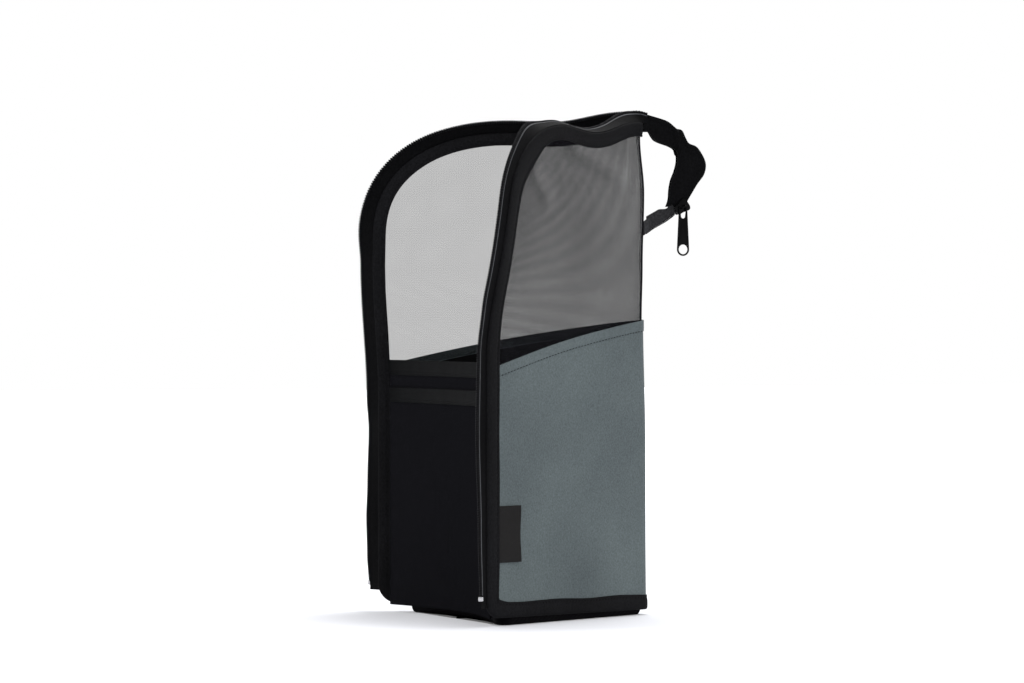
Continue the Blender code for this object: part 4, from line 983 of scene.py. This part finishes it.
def front_place(seat, s, z, out):
    """A point across the front, from the left side at s 0 to the right side at s 1."""
    ends = [skin(side, EDGE_U + seat, z, -LEAF_OUT) for side in (LEFT, RIGHT)]
    point = ends[0].lerp(ends[1], s)
    middle = 4 * s * (1 - s)
    uneven = 0.0
    for height, (across, up, start) in ((FRONT_SAG, FRONT_SAGS), (FRONT_RIPPLE, FRONT_RIPPLES)):
        uneven += height * noise.noise(Vector((s * across, z * up, seat * start)))
    point.y += middle * (front_bow(z) + uneven) - out
    return point


def front_pocket(name, top, inset=0.0, off=0.0):
    """A net pocket with its folded band, in two halves that meet in the middle of the front. The front
    one is sewn to the other, inset from the sides and a little off it."""
    seat = GUSSET_SEAT
    across, up = 36, 40
    heights = steps(FRONT_FOOT, top - 0.0010, up)
    seam, deep = BAND_SEAM, BAND_DEEP
    section = [(0.0, -0.0003), (0.0, 0.0003), (0.0004, 0.00075), (0.0020, 0.00090), (seam - 0.0011, 0.00086)]
    section += [(seam, 0.00060), (deep - 0.0002, 0.00080), (deep, 0.00052), (seam, 0.00030)]
    section += [(down, -out) for down, out in reversed(section[2:])]

    def band_place(station, down, out):
        return front_place(seat, station[0], top - down, off + out)

    for side, first, last in ((LEFT, inset, 0.5), (RIGHT, 0.5, 1.0 - inset)):
        shares = steps(first, last, across)

        def place(i, j, outer):
            return front_place(seat, shares[i], heights[j], off + (NET_HALF if outer else -NET_HALF))

        def size(i, j):
            return shares[i] * FRONT_FLAT, heights[j]

        sheet = (across, up, place, size, lambda i, point: turn_share(point))
        net = cloth_piece(f"{name}_net_{NAME[side]}", POCKET_NET, *sheet)
        bend(net, side, "black_mesh", name + "_mesh")
        stations = [(s,) for s in steps(first, last, 48)]
        band = swept_piece(f"{name}_band_{NAME[side]}", BAND, stations, section, band_place, 0.002)
        for v, value in zip(band.data.vertices, band.data.attributes["follow"].data):
            value.value = turn_share(v.co)
        bend(band, side, "black_binding", name + "_band")
        places, turns = [], []
        for k in range(BAND_STITCHES):
            s = first + (last - first) * (k + 0.5) / BAND_STITCHES
            for face in (1, -1):
                point = band_place((s,), seam, face * BAND_STITCH_OUT)
                ahead = band_place((s + 0.004,), seam, face * BAND_STITCH_OUT) - point
                places.append((point, ahead.normalized(), Vector((0, -face, 0))))
                turns.append(turn_share(point))
        bend(stitches(f"{name}_stitches_{NAME[side]}", places, turns), side, "black_binding")


def turn_to(angle):
    return Vector((math.cos(angle), math.sin(angle)))


def base_outline(side):
    """One side's half of the base's rim, as (x, y, outward x, outward y), from the middle of the spine
    to the middle of the front."""
    end = front_place(GUSSET_SEAT, 1.0, FRONT_FOOT, 0.0)
    bow = front_bow(FRONT_FOOT)

    def front(x):
        return end.y + BASE_AHEAD + bow * (1 - (x / end.x) ** 2), -2 * bow * x / end.x**2

    def corner(x):
        y, slope = front(x)
        return Vector((x, y)) - Vector((slope, -1.0)).normalized() * BASE_CORNER

    reach = SPINE_RADIUS - LEAF_OUT - BASE_GAP
    out = turn_to(HALF_OPENING)
    near, far = 0.0, PANEL_LENGTH
    for _ in range(40):
        middle = (near + far) / 2
        inside = (corner(middle) - SPINE_AXIS.xy).dot(out) + BASE_CORNER < reach
        near, far = (middle, far) if inside else (near, middle)
    centre = corner(near)
    turns = [turn_to(angle) for angle in steps(math.pi / 2, HALF_OPENING, 8)]
    rim = [(SPINE_AXIS.xy + turn * reach, turn) for turn in turns]
    straight = (rim[-1][0], centre + out * BASE_CORNER)
    rim += [(straight[0].lerp(straight[1], s), out) for s in steps(0, 1, 30)[1:]]
    turned = math.atan(front(near)[1]) - math.pi / 2
    turns = [turn_to(angle) for angle in steps(HALF_OPENING, turned, 10)[1:]]
    rim += [(centre + turn * BASE_CORNER, turn) for turn in turns]
    for x in steps(near, 0.0, 24)[1:]:
        y, slope = front(x)
        rim.append((Vector((x, y)), Vector((slope, -1.0)).normalized()))
    return [(side * p.x, p.y, side * o.x, o.y) for p, o in rim]


def base_half(side):
    """Soft tray: a rim inside the sides, a rounded belly and a flat floor out to the middle line."""
    outline = base_outline(side)
    front, back = min(p[1] for p in outline), max(p[1] for p in outline)
    depth, turns = 14, 8

    def place(i, j, outer):
        x, y, out_x, out_y = outline[i]
        wall = 0.0 if outer else BASE_THICK
        rim = FRONT_LIFT + (SPINE_LIFT - FRONT_LIFT) * (y - front) / (back - front) + BASE_RIM
        angle = min(1.0, j / turns) * math.pi / 2
        spot = Vector((x * BASE_BULGES, y * BASE_BULGES, 1.7 + j * 0.1))
        bulge = BASE_BULGE * noise.noise(spot) * math.sin(2 * angle)
        inward = wall + (BASE_ROUND - wall) * (1 - math.cos(angle)) - bulge
        z = rim - (rim - wall) * math.sin(angle)
        to_middle = 1 - max(0, j - turns) / (depth - turns)
        return Vector(((x - inward * out_x) * to_middle, y - inward * out_y, max(z, wall)))

    def size(i, j):
        return place(i, j, True).xy + Vector((0, j * NUDGE if j < turns else 0.0))

    sheet = (len(outline) - 1, depth, place, size, lambda i, point: turn_share(point))
    bend(cloth_piece("base_" + NAME[side], BASE_CLOTH, *sheet), side, "base_cloth", "base")


# Label


def bare_label():
    """Bare woven label, its edge caught under the binding and its corners a little lifted."""
    start, height = EDGE_U + BINDING_WIDTH - LABEL_UNDER, LABEL_HIGH - LABEL_LOW
    across, up = 24, 30

    def place(i, j, outer):
        s, t = i / across, j / up
        lift = LABEL_LIFT * s**3 * (0.5 + 0.5 * math.cos(6.0 * t + 0.4))
        wave = LABEL_WAVE * math.sin(3 * t + 1) * s
        fold = LABEL_FOLD * ease(s, 1 - LABEL_FOLD_RUN, LABEL_FOLD_RUN)
        tuck = LABEL_TUCK * (1 - ease(s, 0, LABEL_TUCK_RUN))
        out = CLOTH_IN + CLOTH + LABEL_OUT + lift + wave - fold - tuck + (LABEL_THICK if outer else 0.0)
        return skin(RIGHT, start + LABEL_WIDTH * s, LABEL_LOW + height * t, out)

    def size(i, j):
        return i / across * LABEL_WIDTH, j / up * height

    label = cloth_piece("bare_label", LABEL, across, up, place, size)
    settle(label, "right_side", "label_cloth", "side_label")


# Carrying loop


def curve_through(points, count):
    """Points of a smooth curve through points, a little finer where they lie close together."""
    made, spans = [], len(points) - 1
    for i in range(count + 1):
        at = min(i / count * spans, spans - 1e-9)
        k = int(at)
        p = [Vector(points[min(max(j, 0), spans)]) for j in (k - 1, k, k + 1, k + 2)]
        t = at - k
        second, third = 2 * p[0] - 5 * p[1] + 4 * p[2] - p[3], 3 * p[1] - p[0] - 3 * p[2] + p[3]
        made.append(0.5 * (2 * p[1] + (p[2] - p[0]) * t + second * t**2 + third * t**3))
    return made


def behind(point, x=0.0):
    return Vector((x, SPINE_FACE_Y + point[0], point[1]))


CHAIN_DOWN = (Vector(CHAIN_FOOT) - Vector(SLIDER_AT)).normalized()
CHAIN_ACROSS = Vector((CHAIN_DOWN.y, -CHAIN_DOWN.x))


def loop_frames():
    """Frames down the loop: the outer edge, the way in to the inner edge, the width and the share."""
    start = LOOP_AXIS_Y - SPINE_FACE_Y
    outer = curve_through([(start, LOOP_TOP[1]), *LOOP_OUTER], LOOP_STEPS)
    inner = curve_through([(start, LOOP_TOP[0]), *LOOP_INNER], LOOP_STEPS)
    frames = []
    for i, (edge, root) in enumerate(zip(outer, inner)):
        way = root - edge
        frames.append((edge, way.normalized(), way.length, i / LOOP_STEPS))
    return frames


def loop_lift(share, reach, side):
    """How far a tape stands off the loop's middle: closed at both ends, and pushed up in one slanting
    fold where the loop turns down."""
    free = ease(share, 0, LOOP_START_RUN) * ease(-share, -1, LOOP_END_RUN)
    fold = LOOP_FOLD + LOOP_FOLD_SLANT * reach
    before, run = LOOP_FOLD_RISE
    rise = ease(share, fold - before, run) if share < fold else 1 - ease(share, fold, LOOP_FOLD_FALL)
    groove = hump(reach, LOOP_GROOVE_AT - LOOP_GROOVE_SLANT * share, LOOP_GROOVE_WIDTH)
    groove *= ease(share, *LOOP_GROOVE_FROM)
    crumple = 1 + noise.noise(Vector((share * 7, reach * 2.2, 4.0 * side)))
    return free * (LOOP_OPEN + LOOP_RISE * rise + LOOP_CRUMPLE * crumple - LOOP_GROOVE * groove)


def loop_place(side):
    """Places a point of one tape: reach in from the outer edge in metres, and out from the middle."""

    def place(frame, reach, out):
        edge, way, width, share = frame
        if reach > LOOP_WRAP:
            reach = LOOP_WRAP + (reach - LOOP_WRAP) * (width - LOOP_WRAP) / (LOOP_TAPE - LOOP_WRAP)
        ends = LOOP_END_THICK + (1 - LOOP_END_THICK) * ease(-share, -1, LOOP_THIN_RUN)
        lift = loop_lift(share, reach / width, side)
        return behind(edge + way * reach, side * (out * ends + lift))

    return place


def carrying_loop():
    """Both tapes of the loop, each folded over its own coil along the outer edge."""
    section = [(0.00045, 0.0), (0.0001, 0.0003), (0.0, 0.0008), (0.0003, 0.0013), (0.0010, 0.00155)]
    section += [(0.0019, 0.00150), (0.0026, 0.00122), (LOOP_WRAP, 0.00095)]
    section += [(reach, LOOP_UPPER) for reach in steps(LOOP_WRAP, LOOP_TAPE, 12)[1:]]
    section += [(reach, LOOP_UNDER) for reach in steps(LOOP_TAPE, LOOP_WRAP, 12)]
    section += [(0.0027, 0.0006), (0.0019, 0.00105), (0.0011, 0.00112), (0.00062, 0.0008), (0.0006, 0.0)]
    frames = loop_frames()
    dense = []
    for a, b in zip(frames[4:-8], frames[5:-7]):
        dense += [(a[0].lerp(b[0], t), a[1].lerp(b[1], t), a[2], a[3]) for t in (0.0, 0.5)]
    for side in (LEFT, RIGHT):
        name = NAME[side]
        place = loop_place(side)

        def coil_place(frame, reach, out):
            return place(frame, reach, out + LOOP_COIL_OUT)

        tape = swept_piece(f"loop_tape_{name}_cloth", TAPE, frames, section, place, 0.0009)
        settle(tape, "carrying_loop", "zipper_tape", "loop_tape_" + name)
        sizes = (COIL_PITCH, *LOOP_COIL, LOOP_COIL_HALF, coil_place, LOOP_WIRE)
        coil = wound_wire(f"loop_coil_{name}_wire", COIL, dense, *sizes)
        settle(coil, "carrying_loop", "zipper_coil", "loop_coil_" + name)


def chain_place(run, across, out=0.0):
    """A point run down the chain from the slider and across it, where the closed chain sags a little."""
    sag = CHAIN_SAG * ease(run, *CHAIN_SAG_RUN) - CHAIN_LIFT * ease(run, *CHAIN_LIFT_RUN)
    return behind(Vector(SLIDER_AT) + CHAIN_DOWN * run + CHAIN_ACROSS * (across + sag), out)


def loop_foot():
    """Closed chain and the doubled tape beside it, from the slider to the sewn end on the spine."""
    last = (LOOP_AXIS_Y - SPINE_FACE_Y - SLIDER_AT[0]) / CHAIN_DOWN.x
    frames = [(run, 0.0, 0.0, 0.0) for run in steps(-CHAIN_BEFORE, last + CHAIN_PAST, 56)]

    def wire_place(frame, reach, out):
        return chain_place(frame[0], reach, out)

    half, thick = COIL_WIDTH / 2 - WIRE, COIL_THICK / 2 - WIRE
    sizes = (COIL_PITCH / CHAIN_TIGHTER, -half, half, thick, wire_place, WIRE)
    chain = wound_wire("loop_chain_wire", COIL, frames, *sizes)
    settle(chain, "carrying_loop", "zipper_coil", "loop_chain")
    ribs = steps(0, 1, STRAP_RIBS * 6)
    section = [(s, STRAP_HALF + STRAP_RIB * math.cos(2 * math.pi * STRAP_RIBS * s)) for s in ribs]
    section[0], section[-1] = (0.0, STRAP_EDGE), (1.0, STRAP_EDGE)
    section += [(s, -out) for s, out in reversed(section)]

    def place(station, share, out):
        run = STRAP_FROM + (last + STRAP_PAST - STRAP_SLANT * share - STRAP_FROM) * station[0]
        rise = STRAP_RISE * math.sin(math.pi * min(1.0, share * 1.4)) * ease(run, *STRAP_RISE_RUN)
        width = STRAP_NEAR + (STRAP_WIDTH - STRAP_NEAR) * ease(run, *STRAP_WIDE_RUN)
        return chain_place(run, width * share - STRAP_OVER, out + rise)

    strap = swept_piece("loop_strap_cloth", STRAP, [(s,) for s in steps(0, 1, 40)], section, place, 0.001)
    settle(strap, "carrying_loop", "zipper_tape", "loop_strap")


def sewn_end(name, low, high, face_y, half_width, node_name, look, slope=0.0):
    """Fold of tape sewn to the spine, round the line that the loop swings about. It rises by slope as
    it leaves the spine."""
    wide, deep, back_y = SEWN_RADIUS, SEWN_RADIUS * SEWN_FLAT, face_y + SEWN_THICK
    section = [(wide * math.cos(a), LOOP_AXIS_Y + deep * math.sin(a)) for a in steps(0, math.pi, 14)]
    section += [(-half_width, back_y), (-half_width, face_y), (half_width, face_y), (half_width, back_y)]

    def place(station, x, y):
        pull = 1 - SEWN_PULL * math.cos(2 * math.pi * station[1])
        return Vector((x * pull, y, station[0] + slope * (y - face_y)))

    stations = [(low + (high - low) * s, s) for s in steps(0, 1, 16)]
    settle(swept_piece(name, look, stations, section, place, 0.001), "case_back", "zipper_tape", node_name)


# Slider and pull tab


def slider_piece():
    """Two plates with flanges and a post between them, and the bridge that holds the pull tab."""
    along = Vector((0.0, CHAIN_DOWN.x, CHAIN_DOWN.y))
    across = Vector((0.0, CHAIN_ACROSS.x, CHAIN_ACROSS.y))
    out = Vector((1.0, 0.0, 0.0))
    centre = behind(SLIDER_AT)
    half, room = SLIDER_LENGTH / 2, CHANNEL / 2
    wide, narrow, top = SLIDER_WIDE / 2, SLIDER_NARROW / 2, room + PLATE
    bm = bmesh.new()

    def spot(a, b, height):
        return centre + along * a + across * b + out * height

    def raised(points, way, round_by):
        """A flat shape pushed along way, its edges rounded."""
        start = set(bm.verts)
        face = bm.faces.new([bm.verts.new(point) for point in points])
        made = bmesh.ops.extrude_face_region(bm, geom=[face])
        lifted = [v for v in made["geom"] if isinstance(v, bmesh.types.BMVert)]
        bmesh.ops.translate(bm, verts=lifted, vec=way)
        edges = [e for e in bm.edges if e.verts[0] not in start]
        rounding = {"offset": round_by, "segments": 2, "profile": 0.5, "clamp_overlap": True}
        bmesh.ops.bevel(bm, geom=edges, affect="EDGES", material=-1, **rounding)

    def both_faces(corners, low, high, round_by):
        for side in (1, -1):
            start, end = sorted((side * low, side * high))
            raised([spot(a, b, start) for a, b in corners], out * (end - start), round_by)

    plate = [(-half, -wide * 0.55), (-half * 0.85, -wide * 0.9), (-half * 0.6, -wide)]
    plate += [(half * 0.3, -narrow), (half * 0.9, -narrow * 0.96), (half, -narrow * 0.8)]
    plate += [(a, -b) for a, b in reversed(plate)]
    both_faces(plate, room, top, PLATE_ROUND)
    for edge in (1, -1):
        flange = [(-half * 0.6, wide * 0.96), (half * 0.3, narrow), (half * 0.95, narrow * 0.9)]
        flange += [(a, b - FLANGE) for a, b in reversed(flange)]
        both_faces([(a, edge * b) for a, b in flange], room - FLANGE_IN, room + PLATE / 2, FLANGE_ROUND)
    post = [(-half * 0.95, 0.0), (-half + 0.0015, 0.001), (-half + 0.003, 0.0), (-half + 0.0015, -0.001)]
    raised([spot(a, b, -room - PLATE / 2) for a, b in post], out * (2 * room + PLATE), FLANGE_ROUND)
    arch = [(-BRIDGE_HALF - 0.0004, 0.0), (-BRIDGE_HALF - 0.0004, BRIDGE_ROOM * 0.8)]
    arch += [(-BRIDGE_HALF + 0.0006, BRIDGE_ROOM + BRIDGE_THICK)]
    inner = [(-BRIDGE_HALF + 0.00035, -0.0002), (-BRIDGE_HALF + 0.00035, BRIDGE_ROOM * 0.7)]
    inner += [(-BRIDGE_HALF + 0.0009, BRIDGE_ROOM + 0.0001)]
    arch, inner = (line + [(-a, height) for a, height in reversed(line)] for line in (arch, inner))
    ring = [spot(a, -BRIDGE_WIDTH / 2, top + height) for a, height in arch + inner[::-1]]
    raised(ring, across * BRIDGE_WIDTH, BRIDGE_ROUND)
    settle(piece_from("zipper_slider", bm, ENAMEL, 30), "slider", "black_enamel", "slider_body")


def pull_tab_piece():
    bar = behind(SLIDER_AT, CHANNEL / 2 + PLATE + BRIDGE_ROOM / 2)
    foot = TAB_FOOT_WIDTH / 2
    middle = TAB_BAR / 2 - TAB_LENGTH + foot
    top, corner = TAB_TOP_WIDTH / 2, TAB_BAR * 0.8

    def arc(radius, z, first, last, count, x=0.0):
        return [(x + radius * math.cos(a), z + radius * math.sin(a)) for a in steps(first, last, count)]

    shape = arc(foot, middle, -math.pi, 0.0, 32)
    shape += arc(corner, TAB_BAR / 2 - corner, 0.0, math.pi / 2, 6, top - corner)
    shape += arc(corner, TAB_BAR / 2 - corner, math.pi / 2, math.pi, 6, corner - top)
    round_eye = TAB_EYE_WIDTH * 0.36
    eye = arc(round_eye, -TAB_BAR / 2 - TAB_EYE_HEIGHT + round_eye, -math.pi, 0.0, 14)
    eye += [(TAB_EYE_WIDTH / 2, -TAB_BAR / 2), (-TAB_EYE_WIDTH / 2, -TAB_BAR / 2)]
    hole = arc(TAB_HOLE / 2, middle, 0.0, 2 * math.pi, 40)[:-1]
    curve = bpy.data.curves.new("pull_tab_shape", "CURVE")
    curve.dimensions = "2D"
    curve.fill_mode = "BOTH"
    curve.extrude = TAB_THICK / 2 - TAB_ROUND
    curve.bevel_depth = TAB_ROUND
    curve.bevel_resolution = 2
    curve.offset = -TAB_ROUND
    for points in (shape, eye, hole):
        line = curve.splines.new("POLY")
        line.points.add(len(points) - 1)
        line.use_cyclic_u = True
        for p, (y, z) in zip(line.points, points):
            p.co = (y, z, 0.0, 1.0)
    bm = curve_solid(curve)
    upright = Matrix(((0, 0, 1), (1, 0, 0), (0, 1, 0))).to_4x4()
    bm.transform(Matrix.Translation(bar) @ upright)
    bmesh.ops.remove_doubles(bm, verts=bm.verts, dist=1e-6)
    settle(piece_from("long_pull_tab", bm, ENAMEL, 30), "pull_tab", "black_enamel", "pull_tab")


for side in (LEFT, RIGHT):
    side_cloth(side)
    edge_binding(side)
    zip_tape(side)
    zip_coil(side)
    end_stop(side)
    base_half(side)
front_pocket("gusset", GUSSET_TOP)
front_pocket("pocket", POCKET_TOP, POCKET_IN, POCKET_OUT)
bare_label()
carrying_loop()
loop_foot()
sewn_end("loop_root_cloth", *LOOP_TOP, SPINE_FACE_Y - ROOT_SINK, ROOT_HALF, "loop_root", TAPE)
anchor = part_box("loop_anchor")
anchor_run = (anchor[0].z + ANCHOR_LOWER, anchor[1].z - ANCHOR_UPPER)
sewn_end("loop_anchor_cloth", *anchor_run, SPINE_FACE_Y, ANCHOR_HALF, "loop_anchor", STRAP, ANCHOR_SLOPE)
slider_piece()
pull_tab_piece()


# Floor, light and camera


def seen_share(tree):
    """1 for what the eye sees, also in a gloss or through glass, and 0 for light that falls on things."""
    path = node(tree, "LightPath")
    seen = maths(tree, "MAXIMUM", path.outputs["Is Camera Ray"], path.outputs["Is Glossy Ray"])
    return maths(tree, "MAXIMUM", seen, path.outputs["Is Transmission Ray"])


def floor():
    """Wide pale floor that turns white away from the case and keeps its shadow."""
    bm = bmesh.new()
    bmesh.ops.create_grid(bm, x_segments=1, y_segments=1, size=8.0)
    made, tree, shader, _ = start_material("pale_floor")
    place = node(tree, "TexCoord").outputs["Object"]
    away = node(tree, "VectorMath", {0: place}, operation="LENGTH").outputs["Value"]
    glow = ramp(tree, away, GLOW_FROM, GLOW_TO, GLOW_NEAR)
    surface = {"Base Color": colour(190, 191, 196), "Roughness": 0.9, "Specular IOR Level": 0.1}
    surface["Emission Color"] = (1, 1, 1, 1)
    surface["Emission Strength"] = maths(tree, "MULTIPLY", seen_share(tree), glow)
    feed(tree, shader, surface)
    mesh = bpy.data.meshes.new("studio_floor")
    bm.to_mesh(mesh)
    bm.free()
    mesh.materials.append(made)
    plane = add_object("studio_floor", mesh)


def world():
    made = bpy.data.worlds.new("studio")
    bpy.context.scene.world = made
    made.use_nodes = True
    tree = made.node_tree
    strength = maths(tree, "MULTIPLY_ADD", seen_share(tree), SKY_SEEN - SKY_LIGHT, SKY_LIGHT)
    feed(tree, tree.nodes["Background"], {"Color": (1, 1, 1, 1), "Strength": strength})


def lamp():
    made = bpy.data.lights.new("main_lamp", "AREA")
    made.shape = "SQUARE"
    made.size = LAMP_SIZE
    made.energy = LAMP_POWER
    held = add_object("main_lamp", made)
    held.location = LAMP_PLACE
    held.rotation_euler = (Vector(LAMP_AIM) - Vector(LAMP_PLACE)).to_track_quat("-Z", "Y").to_euler()


def camera():
    made = bpy.data.cameras.new("camera")
    made.sensor_width = SENSOR
    made.lens = LENS
    made.clip_end = 50.0
    held = add_object("camera", made)
    held.location = CAMERA_PLACE
    held.rotation_euler = Vector((*CAMERA_AHEAD, -CAMERA_DROP)).to_track_quat("-Z", "Y").to_euler()
    bpy.context.scene.camera = held


floor()
world()
lamp()
camera()
bpy.context.scene.view_settings.view_transform = "Standard"
